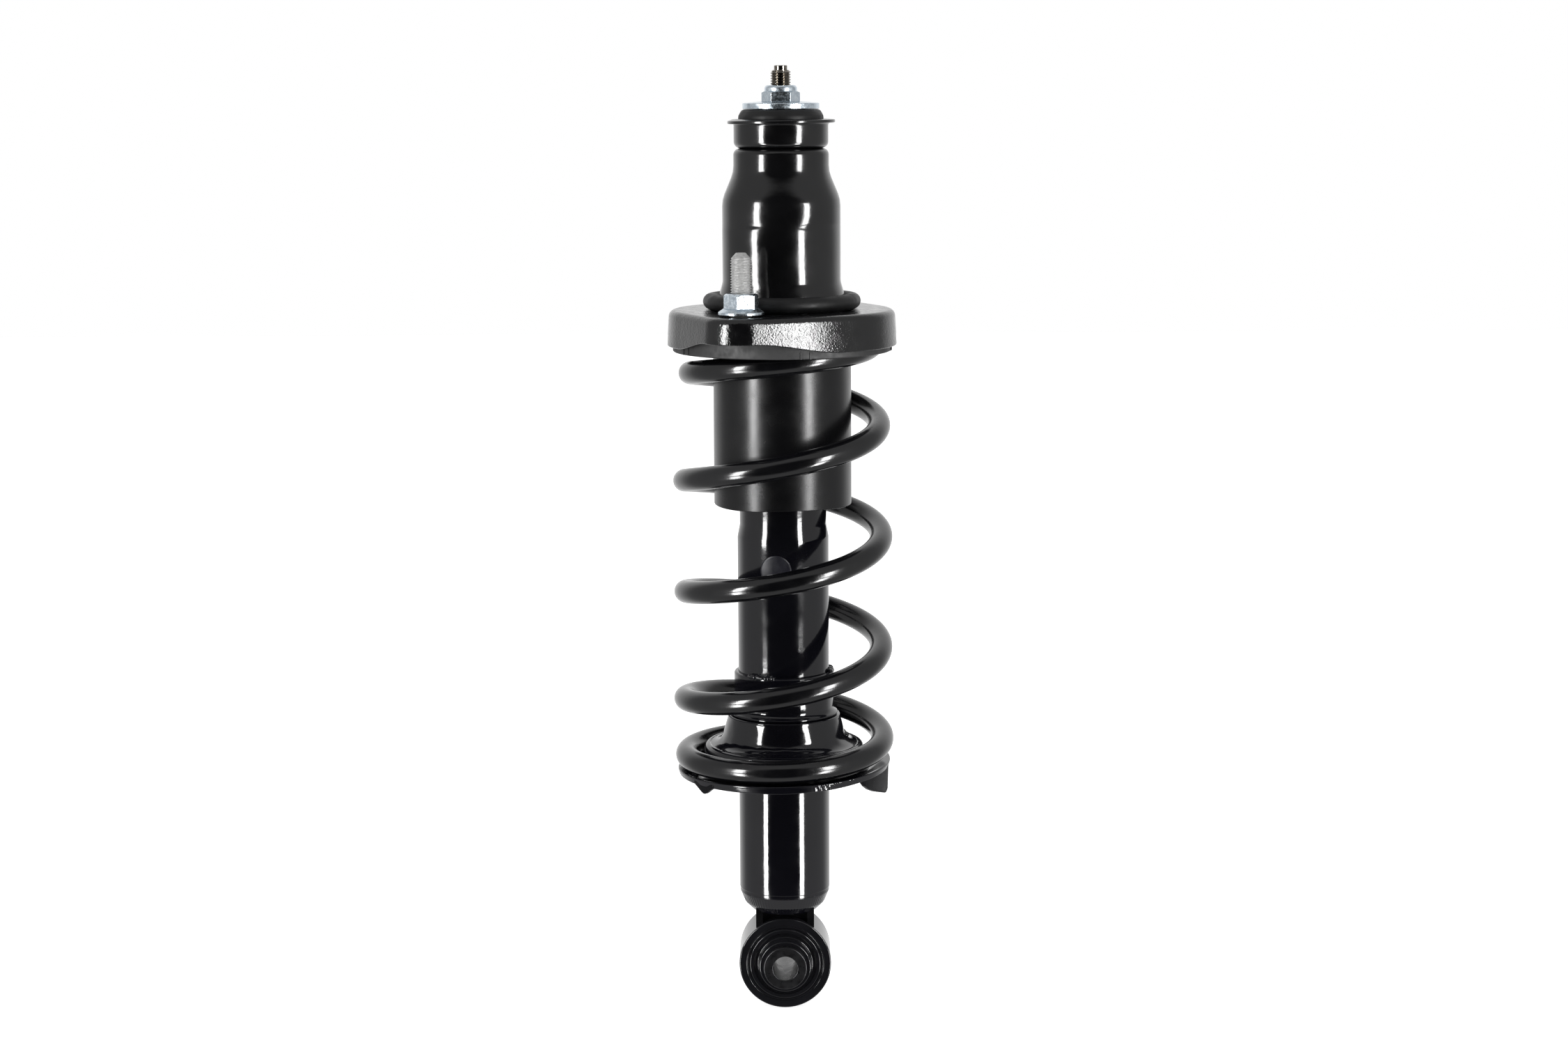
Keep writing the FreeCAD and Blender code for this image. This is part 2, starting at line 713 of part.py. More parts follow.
lower_bush_foot = lower_bush_top - s.lower_bush_height
keep(turned("LowerBush", [
    (bush_bore, lower_bush_foot),
    (s.lower_bush_radius, lower_bush_foot),
    (s.lower_bush_radius, lower_bush_top),
    (bush_bore, lower_bush_top),
], [
    (s.bush_dome_round, [(s.lower_bush_radius, lower_bush_top), (s.lower_bush_radius, lower_bush_foot)]),
]), "lower_bush")

keep(turned("LowerBushWasher", [
    (s.rod_thread_radius, rod_shoulder),
    (s.lower_washer_radius, rod_shoulder),
    (s.lower_washer_radius, lower_washer_top),
    (s.rod_thread_radius, lower_washer_top),
]), "lower_bush_washer")

# Bump stop: a foam sleeve on the rod with two grooves, which the damper meets at the end of its travel.
stop_bore = s.rod_radius + s.rubber_clearance
STOP_STEPS = 6
GROOVE_STEPS = (2, 4)
stop_step = s.bump_stop_length / STOP_STEPS
stop_outline = [(stop_bore, bump_stop_foot)]
for step in range(STOP_STEPS + 1):
    narrow = s.bump_stop_groove if step in GROOVE_STEPS else as_size(0)
    taper = s.bump_stop_groove * (1.0 - step / STOP_STEPS)
    stop_outline.append((s.bump_stop_radius - narrow - taper, bump_stop_foot + stop_step * step))
stop_outline.append((stop_bore, bump_stop_top))
keep(turned("BumpStop", stop_outline), "bump_stop")

# Damper tube, with its drawn-in neck and the lip that is rolled over the seal.
neck_bore = s.tube_neck_radius - s.tube_wall
tube_bore = s.tube_radius - s.tube_wall
seal_top = tube_top - s.tube_wall
guide_top = seal_top - s.rod_seal_height
guide_foot = guide_top - s.rod_guide_height
spigot_foot = guide_foot - s.rod_guide_spigot
neck_foot = tube_top - s.tube_neck_length
shoulder_foot = neck_foot - s.tube_shoulder_length
cylinder_bore = s.cylinder_radius - s.cylinder_wall
rod_bore = s.rod_radius + s.running_clearance
keep(turned("DamperTube", [
    (s.tube_radius, tube_foot),
    (s.tube_radius, shoulder_foot),
    (s.tube_neck_radius, neck_foot),
    (s.tube_neck_radius, tube_top),
    (s.tube_lip_radius, tube_top),
    (s.tube_lip_radius, seal_top),
    (neck_bore, seal_top),
    (neck_bore, neck_foot),
    (tube_bore, shoulder_foot),
    (tube_bore, tube_foot),
], [
    (s.tube_wall / 2, [(s.tube_neck_radius, tube_top)]),
]), "damper_tube")

keep(turned("BumpCap", [
    (rod_bore + s.bump_cap_sheet, cap_top),
    (s.tube_neck_radius + s.bump_cap_sheet, cap_top),
    (s.tube_neck_radius + s.bump_cap_sheet, cap_top - s.bump_cap_height),
    (s.tube_neck_radius, cap_top - s.bump_cap_height),
    (s.tube_neck_radius, tube_top),
    (rod_bore + s.bump_cap_sheet, tube_top),
], [
    (s.bump_cap_sheet / 2, [(s.tube_neck_radius + s.bump_cap_sheet, cap_top)]),
]), "bump_cap")

keep(turned("RodSeal", [
    (rod_bore, guide_top),
    (neck_bore, guide_top),
    (neck_bore, seal_top),
    (rod_bore, seal_top),
]), "rod_seal")

keep(turned("RodGuide", [
    (rod_bore, spigot_foot),
    (cylinder_bore, spigot_foot),
    (cylinder_bore, guide_foot),
    (neck_bore, guide_foot),
    (neck_bore, guide_top),
    (rod_bore, guide_top),
]), "rod_guide")

valve_foot = tube_foot + s.base_valve_gap
valve_step = valve_foot + s.base_valve_height / 2
valve_top = valve_foot + s.base_valve_height
keep(turned("InnerCylinder", [
    (cylinder_bore, valve_step),
    (s.cylinder_radius, valve_step),
    (s.cylinder_radius, guide_foot),
    (cylinder_bore, guide_foot),
]), "inner_cylinder")

keep(turned("BaseValve", [
    (0, valve_foot),
    (s.cylinder_radius, valve_foot),
    (s.cylinder_radius, valve_step),
    (cylinder_bore, valve_step),
    (cylinder_bore, valve_top),
    (0, valve_top),
]), "base_valve")

bottom_cap = turned("BottomCap", [
    (0, cap_foot),
    (s.cap_flat_radius, cap_foot),
    (s.cap_crimp_radius, tube_foot - s.cap_crimp_drop),
    (s.tube_radius, tube_foot),
    (tube_bore, tube_foot),
    (tube_bore, valve_foot),
    (s.cap_ledge_radius, valve_foot),
    (s.cap_ledge_radius, cap_foot + s.cap_ledge_depth),
    (s.cap_ledge_radius - s.cap_wall, cap_foot + s.cap_wall),
    (0, cap_foot + s.cap_wall),
])
keep(bottom_cap, "bottom_cap")

# Piston rod with its thread at the top and the piston's spigot at the foot.
bumper_top = spigot_foot - s.rubber_clearance
ring_top = bumper_top - s.rebound_bumper_height
ring_foot = ring_top - s.rebound_ring_height
piston_top = ring_foot - s.piston_drop
rod_foot_shoulder = piston_top + s.shim_thickness
piston_foot = piston_top - s.piston_height
piston_nut_top = piston_foot - s.shim_thickness
piston_nut_foot = piston_nut_top - s.piston_nut_height
rod_foot = piston_nut_foot - s.piston_spigot_over_nut
keep(turned("PistonRod", [
    (0, rod_foot),
    (s.piston_spigot_radius, rod_foot),
    (s.piston_spigot_radius, rod_foot_shoulder),
    (s.rod_radius, rod_foot_shoulder),
    (s.rod_radius, ring_foot),
    (s.rod_radius - s.rebound_ring_depth, ring_foot),
    (s.rod_radius - s.rebound_ring_depth, ring_top),
    (s.rod_radius, ring_top),
    (s.rod_radius, rod_shoulder),
    (s.rod_thread_radius, rod_shoulder),
    (s.rod_thread_radius, rod_tip - s.rod_pilot_length - s.rod_end_chamfer),
    (s.rod_thread_radius - s.rod_end_chamfer, rod_tip - s.rod_pilot_length),
    (s.rod_pilot_radius, rod_tip - s.rod_pilot_length),
    (s.rod_pilot_radius, rod_tip),
    (0, rod_tip),
]), "piston_rod")

keep(turned("ReboundBumper", [
    (s.rod_radius, ring_top),
    (s.rebound_bumper_radius, ring_top),
    (s.rebound_bumper_radius, bumper_top),
    (s.rod_radius, bumper_top),
]), "rebound_bumper")

keep(turned("ReboundRing", [
    (s.rod_radius - s.rebound_ring_depth, ring_foot),
    (s.rebound_ring_radius, ring_foot),
    (s.rebound_ring_radius, ring_top),
    (s.rod_radius - s.rebound_ring_depth, ring_top),
]), "rebound_ring")

piston_radius = cylinder_bore - s.running_clearance
band_bore = piston_radius - s.piston_band_depth
land_radius = piston_radius - s.running_clearance
keep(turned("Piston", [
    (s.piston_spigot_radius, piston_foot),
    (land_radius, piston_foot),
    (land_radius, piston_foot + s.piston_land),
    (band_bore, piston_foot + s.piston_land),
    (band_bore, piston_top - s.piston_land),
    (land_radius, piston_top - s.piston_land),
    (land_radius, piston_top),
    (s.piston_spigot_radius, piston_top),
]), "piston")

keep(turned("PistonBand", [
    (band_bore, piston_foot + s.piston_land),
    (piston_radius, piston_foot + s.piston_land),
    (piston_radius, piston_top - s.piston_land),
    (band_bore, piston_top - s.piston_land),
]), "piston_band")

shims = []
for shim_name, shim_foot in (("UpperShim", piston_top), ("LowerShim", piston_nut_top)):
    shims.append(turned(shim_name, [
        (s.piston_spigot_radius, shim_foot),
        (s.shim_radius, shim_foot),
        (s.shim_radius, shim_foot + s.shim_thickness),
        (s.piston_spigot_radius, shim_foot + s.shim_thickness),
    ]))
keep(grouped("ValveShims", shims), "valve_shims")

piston_hexagon = hexagon("PistonHexagon", s.piston_nut_across_flats, s.piston_nut_height, piston_nut_foot)
piston_nut_bore = cylinder("PistonNutBore", s.piston_spigot_radius, s.piston_height, z=rod_foot)
keep(cut("PistonNut", piston_hexagon, piston_nut_bore), "piston_nut")

# Dust cover: a moulded tube whose rim is held between the spring's rubber seat and the mount.
cover_rim_foot = cover_top - s.cover_wall
cover_foot = cover_top - s.cover_length
cover_rim = s.cover_radius + s.cover_rim_width
keep(turned("DustCover", [
    (s.cover_radius - s.cover_wall, cover_foot),
    (s.cover_radius, cover_foot),
    (s.cover_radius, cover_rim_foot),
    (cover_rim, cover_rim_foot),
    (cover_rim, cover_top),
    (s.cover_radius - s.cover_wall, cover_top),
]), "dust_cover")

# Rubber seat of the spring, pushed up inside the skirt, with pockets for the studs' heads.
lip_foot = cover_top - s.insulator_lip_depth
hub_bore = s.cover_radius + s.rubber_clearance
insulator_blank = turned("InsulatorBlank", [
    (cover_rim + s.rubber_clearance, cover_top),
    (insulator_radius, cover_top),
    (insulator_radius, lip_foot),
    (insulator_radius - s.insulator_lip_wall, lip_foot),
    (insulator_radius - s.insulator_lip_wall, insulator_floor),
    (hub_bore + s.insulator_hub_wall, insulator_floor),
    (hub_bore + s.insulator_hub_wall, insulator_floor - s.insulator_hub_depth),
    (hub_bore, insulator_floor - s.insulator_hub_depth),
    (hub_bore, cover_rim_foot - s.rubber_clearance),
    (cover_rim + s.rubber_clearance, cover_rim_foot - s.rubber_clearance),
])
head_pocket = cylinder("HeadPocket", s.stud_head_radius + s.rubber_clearance, s.insulator_lip_depth)
pocket_foot = tower_underside - s.stud_head_height - s.rubber_clearance
head_pockets = at_studs("HeadPockets", head_pocket, z=pocket_foot)
keep(cut("UpperInsulator", insulator_blank, head_pockets), "upper_spring_insulator")

# Lower spring perch: a stamped collar and cone pressed on the tube, welded to a dished plate.
perch_back = perch_seat - s.perch_sheet
perch_ledge = perch_seat + s.perch_step_height
ledge_back = perch_ledge - s.perch_sheet
collar_top = perch_seat + s.perch_collar_height
collar_radius = s.tube_radius + s.perch_collar_wall
shoulder_radius = collar_radius + s.perch_shoulder_width
shoulder = perch_seat + s.perch_shoulder_height
cone_radius = shoulder_radius + s.perch_cone_width
cone_foot_radius = cone_radius + s.perch_cone_foot_width
cone_foot = perch_seat + s.perch_cone_foot_height
keep(turned("PerchCollar", [
    (s.tube_radius, collar_top),
    (collar_radius, collar_top),
    (collar_radius, shoulder + s.perch_sheet * 2),
    (shoulder_radius, shoulder),
    (shoulder_radius, shoulder - s.perch_sheet / 2),
    (cone_radius, shoulder - s.perch_sheet),
    (cone_foot_radius, cone_foot),
    (cone_foot_radius, ledge_back),
    (cone_foot_radius - s.perch_sheet, ledge_back),
    (cone_foot_radius - s.perch_sheet, cone_foot - s.perch_sheet / 2),
    (cone_radius - s.perch_sheet, shoulder - s.perch_sheet * 2),
    (s.tube_radius, shoulder - s.perch_sheet / 2),
], [
    (s.perch_rim_round, [(collar_radius, collar_top)]),
]), "perch_collar")

LEDGE_ROUND_SHARE = 0.15
perch_shell = turned("PerchShell", [
    (cone_foot_radius, cone_foot),
    (perch_ledge_radius - s.perch_ledge_width, perch_ledge),
    (perch_ledge_radius, perch_ledge),
    (perch_seat_inner, perch_seat),
    (perch_radius, perch_seat),
    (perch_radius, perch_back),
    (perch_seat_inner - s.perch_sheet, perch_back),
    (perch_ledge_radius - s.perch_sheet, ledge_back),
    (cone_foot_radius, ledge_back),
], [
    (s.perch_rim_round, [(perch_radius, perch_seat)]),
    (s.perch_ledge_bend, [(perch_ledge_radius - s.perch_ledge_width, perch_ledge)]),
    (s.perch_ledge_width * LEDGE_ROUND_SHARE, [(perch_ledge_radius, perch_ledge)]),
])


# The edge of each tab, as shares of its width from its middle and of its drop.
TAB_EDGE = [(0.0, 1.0)]
LUG_EDGE = [(-0.36, 0.16), (-0.21, 0.42), (0.0, 0.64), (0.43, 1.0), (0.5, 0.78)]


def rim_tab(name, width, drop, edge, angle):
    """A tab bent down from the perch's rim along a chord as long as the tab is wide."""
    body = new_body(name)
    sketch = polygon_sketch(body, "XZ_Plane", [
        (-width / 2, perch_back + s.perch_sheet / 2),
        (-width / 2, perch_back),
        *[(width * across, perch_back - drop * down) for across, down in edge],
        (width / 2, perch_back),
        (width / 2, perch_back + s.perch_sheet / 2),
    ])
    pad = body.newObject("PartDesign::Pad", name + "Pad")
    pad.Profile = sketch
    pad.Midplane = True
    pad.setExpression("Length", s.perch_sheet.text)
    body.Tip = pad
    chord = (perch_radius * perch_radius - width * width / 4).root()
    place(body, y=s.perch_sheet / 2 - chord)
    return place(grouped(name + "Placed", [body]), angle=angle)


rim_tabs = [
    rim_tab("RimTab", s.perch_tab_width, s.perch_tab_drop, TAB_EDGE, s.perch_tab_angle),
    rim_tab("RimLug", s.perch_lug_width, s.perch_lug_drop, LUG_EDGE, s.perch_lug_angle),
]
keep(fused("LowerSpringPerch", [perch_shell, *rim_tabs]), "lower_spring_perch")

# Three short weld beads that join the perch's collar to the tube, spaced from the front.
BEAD_COUNT = 3
FRONT_ANGLE = 90.0
beads = []
for number in range(BEAD_COUNT):
    bead = shape_of(
        "Torus",
        f"Bead{number}",
        Radius1=s.tube_radius + s.perch_weld_inset,
        Radius2=s.perch_weld_radius,
        Angle3=s.perch_weld_angle,
    )
    turn = 360.0 / BEAD_COUNT * number - FRONT_ANGLE
    beads.append(place(bead, z=collar_top, angle=s.perch_weld_first_angle + turn))
bead_cut_foot = collar_top - s.perch_weld_cut
bead_tools = fused("BeadTools", [
    cylinder("BeadTube", s.tube_radius, s.perch_weld_cut * 2, z=bead_cut_foot),
    cylinder("BeadCollar", shoulder_radius, s.perch_weld_cut, z=bead_cut_foot),
])
keep(cut("PerchWelds", grouped("Beads", beads), bead_tools), "perch_welds")


# Neck: a channel that stands on the eye and is welded to the cap, with a recess on each side.
neck_top = cap_foot + s.cap_wall * 0.8
neck_height = neck_top - eye_height
neck_left = -s.neck_width / 2
neck_front = -s.neck_depth / 2
neck_blank = box("NeckBlank", s.neck_width, s.neck_depth, neck_height, neck_left, neck_front, eye_height)
recess_width = s.neck_width - s.neck_wall * 2
recess_left = neck_left + s.neck_wall
recesses = [
    box(name, recess_width, s.neck_recess, neck_height * 2, recess_left, start, eye_height)
    for name, start in (("FrontRecess", neck_front), ("BackRecess", -neck_front - s.neck_recess))
]
neck_eye = cylinder(
    "NeckEye",
    s.eye_radius,
    s.neck_depth * 2,
    y=s.neck_depth,
    z=eye_height,
    axis=(1, 0, 0),
    angle=90,
)
keep(cut("EyeNeck", neck_blank, fused("NeckTools", [*recesses, neck_eye, bottom_cap])), "eye_neck")


def eye_piece(name, label, outline, rounds=()):
    """A piece turned about the eye's axis, which runs along Y."""
    return keep(place(turned(name, outline, rounds), z=eye_height, axis=(1, 0, 0), angle=90), label)


def tube_outline(bore, radius, length):
    return [(bore, -length / 2), (radius, -length / 2), (radius, length / 2), (bore, length / 2)]


shell_radius = s.eye_radius - s.eye_wall
rubber_radius = shell_radius - s.bush_shell_wall
eye_half = s.eye_length / 2
eye_piece("EyeRing", "eye_ring", tube_outline(shell_radius, s.eye_radius, s.eye_length), [
    (s.eye_edge_round, [(s.eye_radius, -eye_half), (s.eye_radius, eye_half)]),
])
eye_piece("BushShell", "bush_outer_shell", tube_outline(rubber_radius, shell_radius, s.eye_length))

rubber_bore = s.sleeve_radius + s.bond_clearance
rubber_end = eye_half + s.bush_rubber_bulge
collar_end = eye_half + s.bush_collar_length
collar_foot_radius = s.bush_collar_radius + s.bush_rubber_bulge
eye_piece("BushRubber", "bush_rubber", [
    (rubber_bore, -collar_end),
    (s.bush_collar_radius, -collar_end),
    (collar_foot_radius, -rubber_end),
    (rubber_radius, -rubber_end),
    (rubber_radius, rubber_end),
    (collar_foot_radius, rubber_end),
    (s.bush_collar_radius, collar_end),
    (rubber_bore, collar_end),
], [
    (s.bush_rubber_bulge / 2, [(rubber_radius, -rubber_end), (rubber_radius, rubber_end)]),
    (s.bush_rubber_bulge / 2, [(s.bush_collar_radius, -collar_end), (s.bush_collar_radius, collar_end)]),
])

sleeve_half = s.sleeve_length / 2
sleeve_edge = s.sleeve_radius - s.sleeve_edge_chamfer
eye_piece("BushSleeve", "bush_inner_sleeve", [
    (s.sleeve_bore_radius, -sleeve_half),
    (sleeve_edge, -sleeve_half),
    (s.sleeve_radius, -sleeve_half + s.sleeve_edge_chamfer),
    (s.sleeve_radius, sleeve_half - s.sleeve_edge_chamfer),
    (sleeve_edge, sleeve_half),
    (s.sleeve_bore_radius, sleeve_half),
])

# Identification disc: a thin round sheet wrapped on the tube's front.
disc_height = tube_top - s.disc_drop
disc_foot = disc_height - s.disc_radius * 2
disc_top = disc_height + s.disc_radius * 2
disc_band = turned("DiscBand", [
    (s.tube_radius, disc_foot),
    (s.tube_radius + s.disc_thickness, disc_foot),
    (s.tube_radius + s.disc_thickness, disc_top),
    (s.tube_radius, disc_top),
])
disc_punch = cylinder(
    "DiscPunch",
    s.disc_radius,
    s.tube_radius * 2,
    x=-s.disc_offset,
    z=disc_height,
    axis=(1, 0, 0),
    angle=90,
)
keep(common("IdentityDisc", disc_band, disc_punch), "identity_disc")


# Coil spring: one wire, wound right-handed, with flat end turns and a smaller top turn.
BIARCS_PER_TURN = 4
SAMPLES_PER_BIARC = 12


def smooth_step(share):
    share = min(1.0, max(0.0, share))
    return share * share * (3.0 - 2.0 * share)


def smooth_area(share):
    """The area under the smooth step from 0 to share, which goes on straight past 1."""
    if share <= 0.0:
        return 0.0
    if share >= 1.0:
        return share - 0.5
    return share ** 3 - share ** 4 / 2.0


def coil_spring_shape():
    wire = s.wire_radius.number
    pitch = s.coil_pitch.number
    rise_start, rise_end = s.coil_rise_start.number, s.coil_rise_end.number
    close_start = s.coil_close_start.number
    low = (perch_seat + s.coil_end_clearance).number + wire
    high = (insulator_floor - s.coil_end_clearance).number - wire
    full_turns = (high - low) / pitch
    rise_length = rise_end - rise_start
    close_length = 2.0 * (full_turns - rise_length / 2.0 - (close_start - rise_end))
    taper_start, taper_end = s.coil_taper_start.number, s.coil_taper_end.number
    sway_start, sway_end = s.coil_sway_fade_start.number, s.coil_sway_fade_end.number

    def point(turn):
        risen = rise_length * smooth_area((turn - rise_start) / rise_length)
        closed = close_length * smooth_area((turn - close_start) / close_length)
        rising = smooth_step((turn - rise_start) / rise_length)
        leaning = rising - smooth_step((turn - close_start) / close_length)
        swaying = rising - smooth_step((turn - sway_start) / (sway_end - sway_start))
        low_turn = math.sin(math.pi * min(1.0, max(0.0, turn))) ** 2
        angle = 2.0 * math.pi * turn
        taper = smooth_step((turn - taper_start) / (taper_end - taper_start))
        radius = coil_radius.number - s.coil_taper_width.number * taper + s.coil_low_turn_spread.number * low_turn
        lean = s.coil_lean.number * leaning + s.coil_sway.number * swaying
        height = low + pitch * (risen - closed) - lean * math.cos(angle) + s.coil_low_turn_rise.number * low_turn
        return FreeCAD.Vector(radius * math.sin(angle), -radius * math.cos(angle), height)

    def direction(turn):
        step = 1e-4
        return (point(turn + step) - point(turn - step)).normalize()

    def biarc(turn, end):
        """Two arcs that leave and arrive along the coil's own directions."""
        p, q, u, v = point(turn), point(end), direction(turn), direction(end)
        chord = q - p
        sum_uv = u + v
        a = 2.0 * (1.0 - u.dot(v))
        b = 2.0 * chord.dot(sum_uv)
        length = (-b + math.sqrt(b * b + 4.0 * a * chord.dot(chord))) / (2.0 * a)
        first_knee = p + u * length
        second_knee = q - v * length
        joint = (first_knee + second_knee) * 0.5
        edges = []
        for start, knee, stop in ((p, first_knee, joint), (joint, second_knee, q)):
            half_chord = (stop - start).Length / 2.0
            middle_chord = (start + stop) * 0.5
            rise = (knee - middle_chord).Length
            knee_side = math.hypot(half_chord, rise)
            sagitta = half_chord * (knee_side - half_chord) / rise
            through = middle_chord + (knee - middle_chord).normalize() * sagitta
            edges.append(Part.Arc(start, through, stop).toShape())
        return edges

    first, last = s.coil_start_turn.number, s.coil_end_turn.number
    spans = math.ceil((last - first) * BIARCS_PER_TURN)
    stations = [first + (last - first) * i / spans for i in range(spans + 1)]
    foot_end = point(first) - direction(first) * 2.0 * wire
    top_end = point(last) + direction(last) * 2.0 * wire
    edges = [Part.LineSegment(foot_end, point(first)).toShape()]
    for turn, end in zip(stations, stations[1:]):
        edges.extend(biarc(turn, end))
    edges.append(Part.LineSegment(point(last), top_end).toShape())
    path = Part.Wire(edges)
    section = Part.Wire(Part.Circle(foot_end, direction(first), wire).toShape())
    solid = path.makePipeShell([section], True, False)

    steps = spans * SAMPLES_PER_BIARC
    samples = [foot_end, *(point(first + (last - first) * i / steps) for i in range(steps + 1)), top_end]
    half_turn = steps / (last - first) / 2
    least = min(
        (a - b).Length - 2.0 * wire
        for i, a in enumerate(samples)
        for j, b in enumerate(samples)
        if j - i > half_turn
    )
    print(f"coil spring: {last - first:.2f} turns, wire {path.Length:.0f} mm, least gap {least:.2f} mm")
    expected = math.pi * wire ** 2 * path.Length
    print(f"coil spring: volume {solid.Volume:.0f} mm3, from its length {expected:.0f} mm3")
    return solid


spring = doc.addObject("Part::Feature", "CoilSpring")
spring.Shape = coil_spring_shape()
spring.Placement = FreeCAD.Placement()
keep(spring, "coil_spring")

doc.recompute()
faults = [obj.Name for obj in doc.Objects if {"Invalid", "Error"} & set(obj.State)]
if faults:
    raise RuntimeError("these objects failed: " + ", ".join(faults))

os.makedirs("parts", exist_ok=True)
for piece in pieces:
    shape = piece.Shape
    if shape.isNull() or not shape.isValid() or not shape.Solids:
        raise RuntimeError(f"{piece.Label} has no valid solid")
for piece in pieces:
    piece.Shape.exportStep(f"parts/{piece.Label}.step")
    print(f"{piece.Label}: {len(piece.Shape.Solids)} solid(s), {piece.Shape.Volume:.0f} mm3")
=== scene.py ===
"""Suspension strut: a coil spring round a telescopic damper, hung from a pressed mount."""

import math

import bmesh
import bpy
import numpy as np
from mathutils import Matrix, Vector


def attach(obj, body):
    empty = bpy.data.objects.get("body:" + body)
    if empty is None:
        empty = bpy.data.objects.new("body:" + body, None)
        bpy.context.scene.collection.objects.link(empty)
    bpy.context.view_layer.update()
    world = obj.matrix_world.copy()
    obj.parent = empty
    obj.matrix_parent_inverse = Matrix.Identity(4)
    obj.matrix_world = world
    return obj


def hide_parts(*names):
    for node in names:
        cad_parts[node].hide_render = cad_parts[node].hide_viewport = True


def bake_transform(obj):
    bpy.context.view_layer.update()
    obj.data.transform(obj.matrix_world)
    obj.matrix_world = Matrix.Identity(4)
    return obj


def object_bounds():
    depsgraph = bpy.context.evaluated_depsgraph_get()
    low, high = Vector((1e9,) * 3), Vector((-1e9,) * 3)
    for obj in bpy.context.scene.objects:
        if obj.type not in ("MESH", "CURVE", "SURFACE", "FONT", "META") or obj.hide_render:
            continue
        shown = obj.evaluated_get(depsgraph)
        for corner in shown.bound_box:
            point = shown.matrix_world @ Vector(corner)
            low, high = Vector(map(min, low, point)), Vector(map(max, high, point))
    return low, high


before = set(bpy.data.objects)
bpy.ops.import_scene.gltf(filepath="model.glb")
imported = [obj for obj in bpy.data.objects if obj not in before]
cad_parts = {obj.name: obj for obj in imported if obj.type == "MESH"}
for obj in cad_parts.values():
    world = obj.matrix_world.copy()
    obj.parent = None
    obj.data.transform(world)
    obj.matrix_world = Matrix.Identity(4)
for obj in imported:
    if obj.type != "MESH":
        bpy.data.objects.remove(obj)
cad_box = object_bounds()

# Studio: a room that is dark towards the camera, grey at the sides and white behind. On each side two
# tall strip lights stand one above the other, and their reflections run down every round wall. The
# pale floor glows by itself and throws no light on the strut.
CAMERA_PLACE = (0.0005, -1.4286, 0.108)
CAMERA_PITCH = 8.5
CAMERA_ROLL = -0.3
LENS = 67.2
STRIP_DISTANCE = 1.3
STRIP_WIDTH = 0.25
STRIP_RADIANCE = 33.0
STRIP_AZIMUTHS = {"left": -48.5, "right": 44.5}
STRIP_SPANS = {"upper": (-0.279, 0.42), "lower": (-0.95, -0.435)}
ROOM_BRIGHTNESS = {-0.8: 0.02, -0.6: 0.68, 0.4: 0.5, 0.8: 1.0}
FLOOR_HALF = 4.0
FLOOR_FRONT = -1.2
FLOOR_GAP = 0.0004
FLOOR_GLOW = 0.85


def linked(name, data):
    """A new object in the scene."""
    piece = bpy.data.objects.new(name, data)
    bpy.context.scene.collection.objects.link(piece)
    return piece


def fill(tree, socket, value):
    """Gives the socket a value, or links it where the value is another node's output."""
    if isinstance(value, bpy.types.NodeSocket):
        tree.links.new(value, socket)
    else:
        socket.default_value = value


def add_node(tree, kind, settings=None, **inputs):
    """A new node with its settings and its inputs by name, where _ stands for a space."""
    node = tree.nodes.new(kind)
    for key, value in (settings or {}).items():
        setattr(node, key, value)
    for label, value in inputs.items():
        fill(tree, node.inputs[label.replace("_", " ")], value)
    return node


camera_data = bpy.data.cameras.new("camera")
camera_data.lens = LENS
camera_data.sensor_width = 36.0
camera = linked("camera", camera_data)
camera.matrix_world = (
    Matrix.Translation(CAMERA_PLACE)
    @ Matrix.Rotation(math.radians(90.0 - CAMERA_PITCH), 4, "X")
    @ Matrix.Rotation(math.radians(CAMERA_ROLL), 4, "Z")
)
bpy.context.scene.camera = camera
bpy.context.scene.view_settings.view_transform = "Standard"

for side, azimuth in STRIP_AZIMUTHS.items():
    for level, (strip_foot, strip_top) in STRIP_SPANS.items():
        strip_data = bpy.data.lights.new(f"strip_{level}_{side}", "AREA")
        strip_data.shape = "RECTANGLE"
        strip_data.size = STRIP_WIDTH
        strip_data.size_y = strip_top - strip_foot
        strip_data.energy = STRIP_RADIANCE * math.pi * STRIP_WIDTH * (strip_top - strip_foot)
        strip = linked(strip_data.name, strip_data)
        strip.visible_camera = False
        strip.visible_diffuse = False
        strip.matrix_world = (
            Matrix.Rotation(math.radians(azimuth), 4, "Z")
            @ Matrix.Translation((0, -STRIP_DISTANCE, (strip_top + strip_foot) / 2))
            @ Matrix.Rotation(math.radians(90), 4, "X")
        )

world = bpy.data.worlds.new("white_room")
bpy.context.scene.world = world
world.use_nodes = True
room = world.node_tree
walls = room.nodes["Background"]
walls.inputs["Color"].default_value = (1, 1, 1, 1)
ray = add_node(room, "ShaderNodeLightPath")
heading = add_node(room, "ShaderNodeTexCoord")
split = add_node(room, "ShaderNodeSeparateXYZ", Vector=heading.outputs["Generated"])
toward_wall = add_node(room, "ShaderNodeMapRange", Value=split.outputs["Y"], From_Min=-1.0)
shade = add_node(room, "ShaderNodeValToRGB")
shade.color_ramp.interpolation = "EASE"
while len(shade.color_ramp.elements) < len(ROOM_BRIGHTNESS):
    shade.color_ramp.elements.new(1.0)
for stop, (toward_back, brightness) in zip(shade.color_ramp.elements, ROOM_BRIGHTNESS.items()):
    stop.position = (toward_back + 1) / 2
    stop.color = (brightness, brightness, brightness, 1)
brightest = add_node(room, "ShaderNodeMath", {"operation": "MAXIMUM"})
fill(room, shade.inputs[0], toward_wall.outputs[0])
fill(room, brightest.inputs[0], ray.outputs["Is Camera Ray"])
fill(room, brightest.inputs[1], shade.outputs[0])
